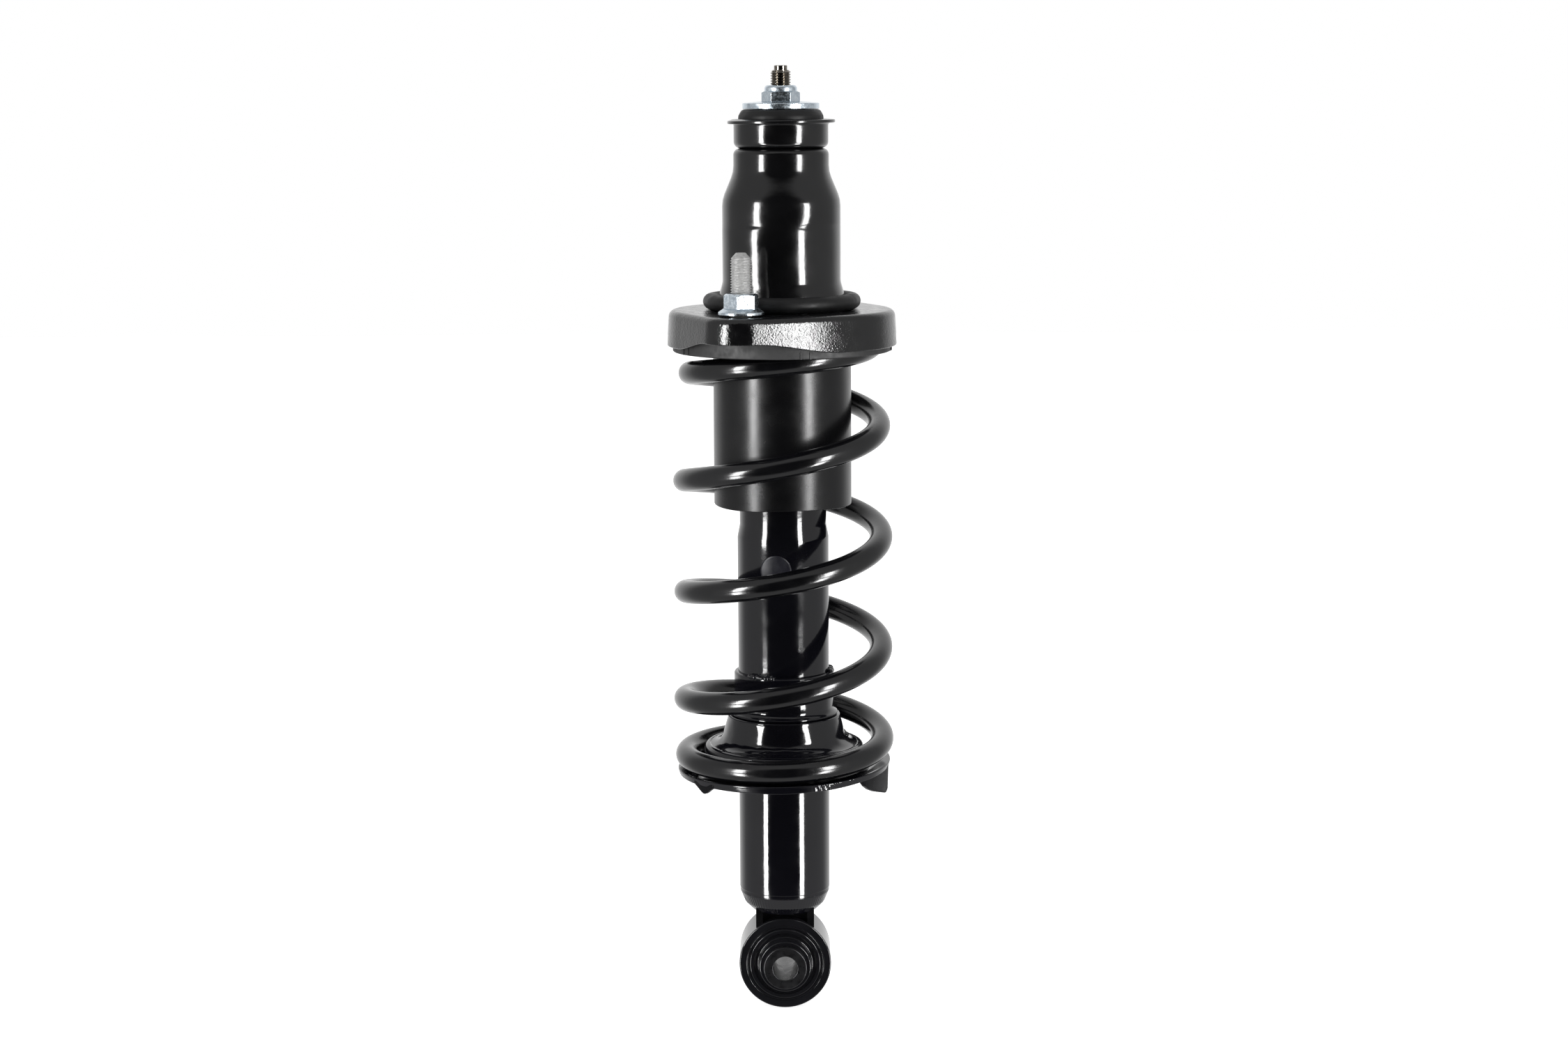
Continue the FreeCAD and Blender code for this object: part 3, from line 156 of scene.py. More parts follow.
fill(room, walls.inputs["Strength"], brightest.outputs[0])

floor_height = cad_box[0][2] - FLOOR_GAP
floor_mesh = bpy.data.meshes.new("floor")
floor_left = [(-FLOOR_HALF, FLOOR_FRONT, floor_height), (-FLOOR_HALF, FLOOR_HALF, floor_height)]
floor_right = [(FLOOR_HALF, y, z) for x, y, z in floor_left]
floor_mesh.from_pydata(floor_left + floor_right, [], [(0, 2, 3, 1)])
floor = linked("floor", floor_mesh)
floor.visible_glossy = False
floor.visible_diffuse = False
floor.visible_shadow = False
pale = bpy.data.materials.new("pale_floor")
pale.use_nodes = True
pale_looks = {
    "Base Color": (0.8, 0.8, 0.8, 1),
    "Roughness": 0.9,
    "Emission Color": (1, 1, 1, 1),
    "Emission Strength": FLOOR_GLOW,
}
for label, value in pale_looks.items():
    fill(pale.node_tree, pale.node_tree.nodes["Principled BSDF"].inputs[label], value)
floor_mesh.materials.append(pale)

# Damper tube: drawn steel tube of 45 mm, drawn in at the top where the guide sits, in smooth
# gloss black. Its neck goes up inside the dust cover, and a fine step runs round its foot.
MM = 0.001
EDGE = 0.15
ARC_STEP = math.radians(12)
RUN_SHARE = 0.35
LEAST_RUN = 0.02
TUBE_RADIUS = 22.5
TUBE_WALL = 1.8
TUBE_FOOT = -291.1
TUBE_TOP = -77.5
TUBE_NECK = 21.35
TUBE_SHOULDER = -112.0
TUBE_NECK_FOOT = -106.0
TUBE_MOUTH = 15.0
FOOT_STEP = 0.28
FOOT_STEP_TOP = -289.4


def softened(corners):
    """The outline (r, z, bend) with each corner drawn as an arc and a point beside it on each run."""
    corners = [(r, z, (bend or [EDGE])[0]) for r, z, *bend in corners]
    count = len(corners)
    points = []
    for place, (r, z, bend) in enumerate(corners):
        here = complex(r, z)
        run_in = here - complex(*corners[place - 1][:2])
        run_out = complex(*corners[(place + 1) % count][:2]) - here
        way_in = run_in / abs(run_in)
        way_out = run_out / abs(run_out)
        turn = math.atan2((way_out / way_in).imag, (way_out / way_in).real)
        if r == 0 or bend == 0 or abs(turn) < 0.01:
            points.append(here)
            continue
        reach = bend * math.tan(abs(turn) / 2)
        runs = [RUN_SHARE * (abs(run) - 2 * reach) for run in (run_in, run_out)]
        before, after = (min(bend, max(LEAST_RUN, run)) for run in runs)
        start = here - way_in * reach
        centre = start + way_in * 1j * math.copysign(bend, turn)
        steps = max(2, math.ceil(abs(turn) / ARC_STEP))
        points.append(start - way_in * before)
        points += [centre + (start - centre) * np.exp(1j * turn * step / steps) for step in range(steps + 1)]
        points.append(here + way_out * (reach + after))
    area = sum((point.conjugate() * after).imag for point, after in zip(points, points[1:] + points[:1]))
    return np.array([(point.real, point.imag) for point in (points if area > 0 else points[::-1])])


def mesh_piece(name, points, faces):
    """A smooth piece from points in millimetres."""
    mesh = bpy.data.meshes.new(name)
    mesh.from_pydata((np.asarray(points) * MM).tolist(), [], faces)
    mesh.shade_smooth()
    return linked(name, mesh)


def ring_faces(columns, rows, closed=True):
    """Faces between each column of points and the next, all the way round; a column may be a closed loop."""
    faces = []
    for column in range(columns):
        here = column * rows
        there = (column + 1) % columns * rows
        for row in range(rows if closed else rows - 1):
            above = (row + 1) % rows
            faces.append((here + row, there + row, there + above, here + above))
    return faces


def turned(name, corners, dented=None, count=180):
    """A round piece: the outline turned about Z, and closed on the axis where it starts there."""
    outline = softened(corners)
    solid = outline[0, 0] == 0
    wall = outline[1:-1] if solid else outline
    angle = np.linspace(0, 2 * math.pi, count, endpoint=False)[:, None]
    angle, radius, height = np.broadcast_arrays(angle, wall[:, 0], wall[:, 1])
    if dented:
        radius, height = dented(radius, height, angle)
    points = np.stack([radius * np.sin(angle), -radius * np.cos(angle), height], -1).reshape(-1, 3)
    rows = len(wall)
    faces = ring_faces(count, rows, closed=not solid)
    if solid:
        for column in range(count):
            here = column * rows
            there = (column + 1) % count * rows
            faces.append((len(points), there, here))
            faces.append((len(points) + 1, here + rows - 1, there + rows - 1))
        points = np.vstack([points, (0, 0, outline[0, 1]), (0, 0, outline[-1, 1])])
    return mesh_piece(name, points, faces)


def grain(tree, detail, size, low, high, stretch=(1, 1, 1)):
    """Noise with grains of that size in millimetres, spread between two values."""
    place = add_node(tree, "ShaderNodeTexCoord").outputs["Object"]
    mapped = add_node(tree, "ShaderNodeMapping", Vector=place, Scale=stretch).outputs[0]
    noise = add_node(tree, "ShaderNodeTexNoise", Vector=mapped, Scale=1 / (size * MM), Detail=detail)
    ends = {"From_Min": 0.3, "From_Max": 0.7, "To_Min": low, "To_Max": high}
    return add_node(tree, "ShaderNodeMapRange", Value=noise.outputs["Fac"], **ends).outputs[0]


def finish(name, tones, roughness, bumps, metallic=0.0, specular=0.5):
    """A material in two tones, with fine bumps.

    The tones are the size of their patches and two colours. The roughness is one value, or the size of
    its patches and the two values it wanders between. Each bump is the size of its grains and its depth.
    A last item stretches the grains. Sizes are in millimetres.
    """
    material = bpy.data.materials.new(name)
    material.use_nodes = True
    tree = material.node_tree
    patch, dark, light = tones
    blend = add_node(tree, "ShaderNodeMix", {"data_type": "RGBA"})
    fill(tree, blend.inputs[0], grain(tree, 5.0, patch, 0.0, 1.0))
    fill(tree, blend.inputs[6], (*dark, 1))
    fill(tree, blend.inputs[7], (*light, 1))
    if isinstance(roughness, tuple):
        roughness = grain(tree, 4.0, *roughness)
    normal = None
    for size, depth, *stretch in bumps:
        height = grain(tree, 2.0, size, 0.0, 1.0, *stretch)
        bump = add_node(tree, "ShaderNodeBump", Strength=1.0, Distance=depth * MM, Height=height)
        if normal:
            fill(tree, bump.inputs["Normal"], normal)
        normal = bump.outputs[0]
    looks = {
        "Base Color": blend.outputs[2],
        "Metallic": metallic,
        "Roughness": roughness,
        "Specular IOR Level": specular,
        "Normal": normal,
    }
    for label, value in looks.items():
        fill(tree, tree.nodes["Principled BSDF"].inputs[label], value)
    return material


def fitted(piece, material, slot, body, *nodes):
    """The piece in its finish, in the place of these CAD nodes, on that body."""
    piece.data.materials.clear()
    piece.data.materials.append(material)
    if nodes:
        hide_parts(*nodes)
    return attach(piece, body)


def refinished(material, *nodes):
    """The same finish on CAD nodes that stay as they are."""
    for node in nodes:
        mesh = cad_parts[node].data
        mesh.materials.clear()
        mesh.materials.append(material)


gloss_black = finish(
    "gloss_black_paint", (14.0, (0.009, 0.009, 0.014), (0.013, 0.013, 0.019)), (9.0, 0.05, 0.12),
    [(1.6, 0.004), (9.0, 0.012)],
)

damper_tube = turned("outer_tube", [
    (TUBE_RADIUS - TUBE_WALL, TUBE_FOOT),
    (TUBE_RADIUS - FOOT_STEP, TUBE_FOOT),
    (TUBE_RADIUS - FOOT_STEP, FOOT_STEP_TOP - FOOT_STEP),
    (TUBE_RADIUS, FOOT_STEP_TOP),
    (TUBE_RADIUS, TUBE_SHOULDER, 6.0),
    (TUBE_NECK, TUBE_NECK_FOOT, 6.0),
    (TUBE_NECK, TUBE_TOP, 0.9),
    (TUBE_MOUTH, TUBE_TOP),
    (TUBE_MOUTH, TUBE_TOP - TUBE_WALL),
    (TUBE_NECK - TUBE_WALL, TUBE_TOP - TUBE_WALL),
    (TUBE_NECK - TUBE_WALL, TUBE_NECK_FOOT, 6.0),
    (TUBE_RADIUS - TUBE_WALL, TUBE_SHOULDER, 6.0),
], count=240)
fitted(damper_tube, gloss_black, "damper_paint", "damper", "damper_tube")

# Bottom cap: the tube's end is closed over a pressed cap and rolled in, which leaves a step and
# a band of short upright marks round the taper.
CAP_CRIMP_RADIUS = 20.0
CAP_CRIMP_FOOT = -297.0
CAP_FLAT_RADIUS = 16.2
CAP_FOOT = -300.8
CAP_BORE = 15.8
CAP_SHEET = 3.0
CRIMP_MARKS = 84
CRIMP_DEPTH = 0.22


def ramp(value, start, end):
    """0 before the start, 1 beyond the end and even between them. It may run downwards."""
    return np.clip((value - start) / (end - start), 0, 1)


def crimped(radius, height, angle):
    """Shallow flutes that fade out at the step above and on the flat below."""
    band = ramp(height, TUBE_FOOT - 0.6, TUBE_FOOT - 2.1) * ramp(height, CAP_FOOT + 0.6, CAP_FOOT + 3.1)
    wander = 0.6 + 0.4 * np.sin(angle * 5 + 1.3) * np.sin(angle * 3 + 0.4)
    flutes = 0.5 + 0.5 * np.cos(angle * CRIMP_MARKS)
    return radius - CRIMP_DEPTH * band * wander * flutes, height


bottom_cap = turned("crimped_cap", [
    (0, CAP_FOOT),
    (CAP_FLAT_RADIUS, CAP_FOOT, 1.6),
    (CAP_CRIMP_RADIUS, CAP_CRIMP_FOOT, 3.0),
    (TUBE_RADIUS - FOOT_STEP, TUBE_FOOT - 0.4, 1.2),
    (TUBE_RADIUS - FOOT_STEP, TUBE_FOOT),
    (TUBE_RADIUS - TUBE_WALL, TUBE_FOOT),
    (CAP_BORE, TUBE_FOOT),
    (CAP_BORE, CAP_FOOT + 1.5 * CAP_SHEET),
    (CAP_BORE - CAP_SHEET, CAP_FOOT + CAP_SHEET),
    (0, CAP_FOOT + CAP_SHEET),
], crimped, count=8 * CRIMP_MARKS)
fitted(bottom_cap, gloss_black, "damper_paint", "damper", "bottom_cap")

# Eye: a forged ring with a rubber bush pressed in, on a channel welded to the cap. The rubber is
# bonded between a thin steel shell and the sleeve that the arm's bolt goes through. Only the sleeve is
# bare: the ring, the shell and the rubber are painted over.
EYE_HEIGHT = -326.2
EYE_RADIUS = 22.9
EYE_HALF = 14.5
SHELL_RADIUS = 19.0
SHELL_HALF = 14.3
RUBBER_RADIUS = 17.9
SLEEVE_RADIUS = 10.75
SLEEVE_BORE = 6.1
SLEEVE_HALF = 23.5

satin_black = finish(
    "satin_black_paint", (11.0, (0.010, 0.010, 0.0115), (0.016, 0.016, 0.018)), (7.0, 0.12, 0.24),
    [(1.1, 0.006), (7.0, 0.016)],
)
moulded_rubber = finish(
    "moulded_rubber", (9.0, (0.019, 0.019, 0.02), (0.029, 0.029, 0.03)), (5.0, 0.38, 0.6),
    [(0.35, 0.006), (6.0, 0.03)], specular=0.2,
)
eye_black = finish(
    "eye_black_paint", (11.0, (0.022, 0.022, 0.026), (0.03, 0.03, 0.036)), (7.0, 0.06, 0.12),
    [(9.0, 0.003)],
)
dark_steel = finish(
    "phosphated_steel", (4.0, (0.02, 0.02, 0.022), (0.038, 0.038, 0.042)), (3.0, 0.24, 0.36),
    [(0.5, 0.004)], metallic=0.4,
)
machined_steel = finish(
    "machined_steel", (3.0, (0.42, 0.41, 0.4), (0.55, 0.54, 0.53)), (2.0, 0.24, 0.4),
    [(0.25, 0.002, (1, 1, 6))], metallic=1.0,
)


def on_eye(name, half_outline):
    """A piece turned about the eye's axis, whose outline is this half and its mirror image."""
    mirrored = [(r, -z, *bend) for r, z, *bend in reversed(half_outline)]
    piece = turned(name, half_outline + mirrored)
    piece.data.transform(Matrix.Translation((0, 0, EYE_HEIGHT * MM)) @ Matrix.Rotation(math.radians(90), 4, "X"))
    return piece


eye_ring = on_eye("eye", [(SHELL_RADIUS, -EYE_HALF, 0.6), (EYE_RADIUS, -EYE_HALF, 0.7)])
fitted(eye_ring, eye_black, "black_paint", "damper", "eye_ring")
bush_shell = on_eye("bush_shell", [(RUBBER_RADIUS, -SHELL_HALF, 0.4), (SHELL_RADIUS, -SHELL_HALF, 0.2)])
fitted(bush_shell, eye_black, "bare_steel", "damper", "bush_outer_shell")
bush_rubber = on_eye("bush_rubber_body", [
    (SLEEVE_RADIUS, -20.5),
    (12.7, -20.5, 0.5),
    (13.3, -14.4, 0.6),
    (15.3, -14.4, 0.6),
    (15.7, -15.6, 0.3),
    (17.5, -15.6, 0.4),
    (RUBBER_RADIUS, -13.8, 0.3),
])
fitted(bush_rubber, eye_black, "black_rubber", "damper", "bush_rubber")
sleeve = on_eye("bolt_sleeve", [(SLEEVE_BORE, -SLEEVE_HALF, 0.35), (SLEEVE_RADIUS, -SLEEVE_HALF, 0.5)])
fitted(sleeve, dark_steel, "bare_steel", "sleeve", "bush_inner_sleeve")

# Disc: a plain round film stuck on the tube's front, which follows the tube's curve.
DISC_RADIUS = 7.9
DISC_THICKNESS = 0.15
DISC_BEVEL = 0.06
DISC_OFFSET = -3.7
DISC_HEIGHT = -126.5
DISC_RINGS = 10
DISC_SPOKES = 64

disc_reaches = [DISC_RADIUS * ring / DISC_RINGS for ring in range(DISC_RINGS + 1)]
disc_section = [(reach, 0.0) for reach in disc_reaches]
disc_section += [(min(reach, DISC_RADIUS - DISC_BEVEL), DISC_THICKNESS) for reach in reversed(disc_reaches)]
disc_points = []
for spoke in range(DISC_SPOKES):
    angle = 2 * math.pi * spoke / DISC_SPOKES
    for reach, lift in disc_section:
        turn = (DISC_OFFSET + reach * math.cos(angle)) / TUBE_RADIUS
        out = TUBE_RADIUS + lift
        disc_points.append((out * math.sin(turn), -out * math.cos(turn), DISC_HEIGHT + reach * math.sin(angle)))
disc_faces = ring_faces(DISC_SPOKES, len(disc_section), closed=False)
disc_film = finish(
    "plain_film", (5.0, (0.028, 0.028, 0.044), (0.036, 0.036, 0.055)), (3.0, 0.28, 0.42),
    [(0.5, 0.002)], specular=0.35,
)
fitted(mesh_piece("round_film", disc_points, disc_faces), disc_film, "disc_film", "damper", "identity_disc")

# Lower perch: a collar is pressed on the tube and flares out at its foot, where a cone stands round it.
# The cone runs out into a dish, whose rim climbs with the wire and steps down behind, at its end. A
# V-shaped tab and a bent lug stand down from the rim, in a dull black of low shine that is painted shade.
PERCH_SEAT = -227.3
PERCH_RIM = 53.0
PERCH_SHEET = 2.5
COLLAR_TOP = -179.4
COLLAR_RADIUS = 24.6
CONE_TOP = -201.3
LEDGE = -215.7
LEDGE_RADIUS = 39.0
WALL_FOOT = 42.4
LIP_START = 50.5
RIM_LIFT = {
    -180: -0.2, -100: -0.5, -57: -0.8, 0: -0.6, 23: 0.2, 46: 1.5, 77: 2.9, 105: 3.9, 121: 4.1, 127: -0.2,
    180: -0.2,
}
RIM_BAND = {-180: 2.4, -90: 2.4, -45: 3.0, 0: 3.7, 46: 2.9, 77: 2.4, 180: 2.4}
ROUGH_START = 14.0
ROUGH_END = 46.0
ROUGH_FADE = 6.0
ROUGH_DEPTH = 0.11

perch_collar = turned("perch_collar_pressing", [
    (TUBE_RADIUS, COLLAR_TOP),
    (COLLAR_RADIUS, COLLAR_TOP, 1.2),
    (COLLAR_RADIUS, -198.4, 3.0),
    (26.9, -200.2, 0.6),
    (26.2, -201.1, 0.3),
    (25.2, -201.6, 0.3),
    (27.4, -213.0, 1.0),
    (26.2, -213.0, 0.3),
    (TUBE_RADIUS, -200.0, 0.5),
], count=240)
fitted(perch_collar, gloss_black, "black_paint", "damper", "perch_collar")


def degrees_from_front(angle):
    """The angle in degrees, from -180 to 180 and positive at the right."""
    turn = np.degrees(angle)
    return np.where(turn > 180, turn - 360, turn)


def by_turn(table, turn):
    """The table's value at each angle, with the corners between its rows worn away."""
    spots = [turn + step for step in (-4, -2, 0, 2, 4)]
    spots = [np.where(spot > 180, spot - 360, np.where(spot < -180, spot + 360, spot)) for spot in spots]
    return sum(np.interp(spot, list(table), list(table.values())) for spot in spots) / len(spots)


def dished(radius, height, angle):
    """The seat and rim climb with the wire, and the rim's sheared edge is rough at the right."""
    turn = degrees_from_front(angle)
    seat = ramp(radius, WALL_FOOT, WALL_FOOT + 3.0)
    lip = ramp(radius, LIP_START, LIP_START + 1.5) * (height > PERCH_SEAT - 1.4)
    lift = seat * by_turn(RIM_LIFT, turn) + lip * (by_turn(RIM_BAND, turn) - PERCH_SHEET)
    rough = ramp(turn, ROUGH_START, ROUGH_START + ROUGH_FADE) * ramp(turn, ROUGH_END, ROUGH_END - ROUGH_FADE)
    ripple = np.sin(turn * 5.1 + height * 3.0) + np.sin(turn * 8.3 - height * 2.3) + np.sin(turn * 2.9 + height)
    edge = ramp(radius, PERCH_RIM - 0.9, PERCH_RIM - 0.6)
    wave = 0.08 * np.sin(5 * angle + 0.7) * np.sin(height / 2.2)
    wave += 0.07 * np.sin(22 * angle + height) * np.sin(height / 1.4)
    wave *= (height > LEDGE + 1) * (height < CONE_TOP - 1) * (radius > 27.0)
    return radius + wave + ROUGH_DEPTH * edge * rough * ripple, height + lift


perch_dish = turned("perch_dish", [
    (25.4, CONE_TOP, 0.3),
    (27.8, CONE_TOP, 0.7),
    (28.1, -203.0, 3.0),
    (31.3, LEDGE, 6.7),
    (LEDGE_RADIUS, LEDGE - 0.2, 2.2),
    (WALL_FOOT, PERCH_SEAT, 2.2),
    (PERCH_RIM - 2.0, PERCH_SEAT, 1.5),
    (PERCH_RIM, PERCH_SEAT + 0.1, 0.5),
    (PERCH_RIM - 0.3, PERCH_SEAT - 1.2, 0),
    (PERCH_RIM - 0.45, PERCH_SEAT - 1.9, 0),
    (PERCH_RIM - 0.6, PERCH_SEAT - PERCH_SHEET, 0.3),
    (WALL_FOOT - PERCH_SHEET + 0.6, PERCH_SEAT - PERCH_SHEET, 1.0),
    (LEDGE_RADIUS - PERCH_SHEET + 0.4, LEDGE - PERCH_SHEET, 1.0),
    (29.4, LEDGE - PERCH_SHEET, 4.5),
    (25.6, -203.4, 1.0),
], dished, count=600)


def smoothed(piece, angle=38):
    """Smooth shading, with the edges sharper than that many degrees left as edges."""
    piece.data.shade_smooth()
    piece.data.set_sharp_from_angle(angle=math.radians(angle))
    return piece


def moved(piece, y=0.0, turn=0.0):
    """Shifts a piece's mesh back in millimetres, then turns it about the strut's axis, in degrees."""
    piece.data.transform(Matrix.Rotation(math.radians(turn), 4, "Z") @ Matrix.Translation((0, y * MM, 0)))
    return piece


def shaped(name, form):
    """The edited mesh as a piece."""
    mesh = bpy.data.meshes.new(name)
    form.to_mesh(mesh)
    form.free()
    return linked(name, mesh)


def joined(name, *pieces):
    """Several meshes as one piece."""
    form = bmesh.new()
    for piece in pieces:
        form.from_mesh(piece.data)
        bpy.data.objects.remove(piece)
    return shaped(name, form)


FLAP_EDGE = 0.5
TAB_TURN = -48.8
TAB_OUTLINE = [
    (-7.4, -228.4), (-7.4, -230.2), (-4.6, -231.9), (-1.7, -233.7), (-0.6, -234.2), (0.7, -234.2), (1.9, -233.6),
    (4.4, -231.8), (7.4, -230.2), (7.4, -228.4),
]
LUG_TURN = 61.5
LUG_OUTLINE = [
    (-13.6, -226.4), (-13.3, -228.4), (-10.1, -231.3), (-5.9, -233.8), (-0.5, -235.9), (5.3, -237.5),
    (11.7, -239.2), (12.8, -238.8), (14.2, -237.3), (14.6, -230.7), (14.9, -226.7), (14.9, -224.9),
]


def rim_flap(name, outline, turn):
    """A flap of the rim's sheet with rounded edges, flat on the chord between its two ends."""
    form = bmesh.new()
    face = form.faces.new([form.verts.new((x * MM, -PERCH_SHEET / 2 * MM, z * MM)) for x, z in outline])
    pulled = bmesh.ops.extrude_face_region(form, geom=[face])
    lifted = [part for part in pulled["geom"] if isinstance(part, bmesh.types.BMVert)]
    bmesh.ops.translate(form, verts=lifted, vec=(0, PERCH_SHEET * MM, 0))
    bmesh.ops.recalc_face_normals(form, faces=form.faces)
    bmesh.ops.bevel(form, geom=form.edges[:], offset=FLAP_EDGE * MM, segments=3, profile=0.5, affect="EDGES")
    half = max(across for across, height in outline)
    chord = math.sqrt(PERCH_RIM ** 2 - half ** 2)
    return moved(smoothed(shaped(name, form), 35), y=PERCH_SHEET / 2 - chord, turn=turn)


perch_tab = rim_flap("perch_tab", TAB_OUTLINE, TAB_TURN)
perch_lug = rim_flap("perch_lug", LUG_OUTLINE, LUG_TURN)
flap_faces = len(perch_tab.data.polygons) + len(perch_lug.data.polygons)
# Painted shade: a dull black of low shine on the tab and the lug, which makes them look as dark as if they lay in
# shadow.
flap_painted_shade = finish(
    "flap_painted_shade_paint", (5.0, (0.008, 0.008, 0.010), (0.014, 0.014, 0.017)), (4.0, 0.24, 0.38),
    [(1.6, 0.008)], specular=0.08,
)
# The flaps' faces come last in the joined mesh, and they alone get the dull black, which is painted shade on them.
perch_plate = joined("perch_plate", perch_dish, perch_tab, perch_lug)
fitted(perch_plate, gloss_black, "black_paint", "damper", "lower_spring_perch")
perch_plate.data.materials.append(flap_painted_shade)
for face in list(perch_plate.data.polygons)[-flap_faces:]:
    face.material_index = 1

# Weld beads: three short beads hold the collar's top on the tube, and two more stand at the cone's
# foot, at the right and behind. Each is a row of overlapping ripples that wander a little.
RIPPLE_STEP = 0.45
RIPPLE_DRIFT = 0.2
RIPPLE_SWELL = (0.8, 1.15)


class Term:
    """A number inside a Geometry Nodes tree, so that a shape's rule reads as a formula."""

    def __init__(self, recipe, socket):
        self.recipe = recipe
        self.socket = socket

    def __add__(self, other):
        return self.recipe.maths("ADD", self, other)

    def __sub__(self, other):
        return self.recipe.maths("SUBTRACT", self, other)

    def __mul__(self, other):
        return self.recipe.maths("MULTIPLY", self, other)

    def __truediv__(self, other):
        return self.recipe.maths("DIVIDE", self, other)


class Recipe:
    """A Geometry Nodes tree with named sizes, which is run once and leaves a plain mesh."""

    def __init__(self, name, **sizes):
        self.name = name
        self.sizes = sizes
        self.tree = bpy.data.node_groups.new(name, "GeometryNodeTree")
        self.tree.interface.new_socket("Base", in_out="INPUT", socket_type="NodeSocketGeometry")
        self.keys = {}
        for label, value in sizes.items():
            kind = "NodeSocketInt" if isinstance(value, int) else "NodeSocketFloat"
            self.keys[label] = self.tree.interface.new_socket(label, in_out="INPUT", socket_type=kind).identifier
        self.tree.interface.new_socket("Geometry", in_out="OUTPUT", socket_type="NodeSocketGeometry")
        self.given = self.tree.nodes.new("NodeGroupInput")

    def __getitem__(self, label):
        """The size with that name."""
        return Term(self, self.given.outputs[label])

    def set(self, socket, value):
        fill(self.tree, socket, getattr(value, "socket", value))

    def node(self, kind, settings=None, **inputs):
        sockets = {label: getattr(value, "socket", value) for label, value in inputs.items()}
        return add_node(self.tree, kind, settings, **sockets)

    def result(self, kind, **inputs):
        """What a new node of that kind gives out first."""
        return self.node(kind, **inputs).outputs[0]

    def maths(self, operation, *numbers):
        node = self.node("ShaderNodeMath", {"operation": operation})
        for socket, number in zip(node.inputs, numbers):
            self.set(socket, number)
        return Term(self, node.outputs[0])

    def kept_within(self, value, low, high):
        """The value, held between low and high."""
        return self.maths("MINIMUM", self.maths("MAXIMUM", value, low), high)

    def stepped(self, value, low, high):
        """0 below low, 1 above high and a smooth step between."""
        settings = {"interpolation_type": "SMOOTHSTEP"}
        node = self.node("ShaderNodeMapRange", settings, Value=value, From_Min=low, From_Max=high)
        return Term(self, node.outputs[0])

    def chance(self, low, high, seed):
        """A fixed random number for each point or instance."""
        node = self.node("FunctionNodeRandomValue", {"data_type": "FLOAT"}, Seed=seed)
        node.inputs[2].default_value = low
        node.inputs[3].default_value = high
        return Term(self, node.outputs[1])

    def index(self):
        return Term(self, self.result("GeometryNodeInputIndex"))

    def point(self, x, y, z):
        return self.result("ShaderNodeCombineXYZ", X=x, Y=y, Z=z)

    def around(self, angle, radius, height):
        """A point at that angle from the front, in radians."""
        across = self.maths("SINE", angle) * radius
        back = self.maths("COSINE", angle) * radius * -1.0
        return self.point(across, back, height)

    def moved_to(self, geometry, place):
        """The geometry with each of its points at that place."""
        return self.result("GeometryNodeSetPosition", Geometry=geometry, Position=place)

    def copies(self, points, piece, **inputs):
        """The piece at each of the points."""
        return self.result("GeometryNodeInstanceOnPoints", Points=points, Instance=piece, **inputs)

    def made(self, geometry, material, base=None):
        """Runs the tree, on a base mesh if there is one, and returns the result as a plain mesh piece."""
        solid = self.result("GeometryNodeRealizeInstances", Geometry=geometry)
        dressed = self.result("GeometryNodeSetMaterial", Geometry=solid, Material=material)
        self.tree.links.new(dressed, self.tree.nodes.new("NodeGroupOutput").inputs[0])
        maker = base or linked(self.name, bpy.data.meshes.new(self.name))
        modifier = maker.modifiers.new(self.name, "NODES")
        modifier.node_group = self.tree
        for label, value in self.sizes.items():
            modifier[self.keys[label]] = value
        mesh = bpy.data.meshes.new_from_object(maker.evaluated_get(bpy.context.evaluated_depsgraph_get()))
        bpy.data.objects.remove(maker)
        mesh.name = self.name
        return linked(self.name, mesh)


def weld_beads(name, turns, radius, height, sweep, ripple_size, seed):
    """Beads that start at these turns from the front, in degrees, all equally far apart."""
    ripples = round(math.radians(sweep) * radius / (ripple_size * RIPPLE_STEP))
    recipe = Recipe(
        name,
        Radius=radius * MM,
        Height=height * MM,
        First=math.radians(turns[0]),
        Spacing=math.radians(turns[1] - turns[0]),
        Sweep=math.radians(sweep),
        Ripple=ripple_size * MM,
        Seed=seed,
    )
    line = recipe.result("GeometryNodeMeshLine", Count=ripples * len(turns))
    bead = recipe.maths("FLOOR", recipe.index() / float(ripples))
    share = recipe.index() / float(ripples) - bead
    angle = recipe["First"] + bead * recipe["Spacing"] + recipe["Sweep"] * share
    drift = recipe.chance(-RIPPLE_DRIFT, RIPPLE_DRIFT, recipe["Seed"]) * recipe["Ripple"]
    spots = recipe.moved_to(line, recipe.around(angle, recipe["Radius"] + drift, recipe["Height"] + drift))
    ball = recipe.result("GeometryNodeMeshUVSphere", Segments=14, Rings=9, Radius=recipe["Ripple"])
    swell = recipe.chance(*RIPPLE_SWELL, recipe["Seed"] + 7.0)
    piece = recipe.made(recipe.copies(spots, ball, Scale=swell), gloss_black)
    piece.data.shade_smooth()
    return piece


collar_welds = weld_beads(
    "collar_welds", [-44.0, 76.0, 196.0], radius=23.3, height=COLLAR_TOP - 0.5, sweep=32.0, ripple_size=1.5, seed=3
)
foot_welds = weld_beads(
    "foot_welds", [92.0, 208.0], radius=30.9, height=LEDGE + 2.2, sweep=30.0, ripple_size=1.4, seed=11
)
fitted(joined("weld_beads", collar_welds, foot_welds), gloss_black, "black_paint", "damper", "perch_welds")

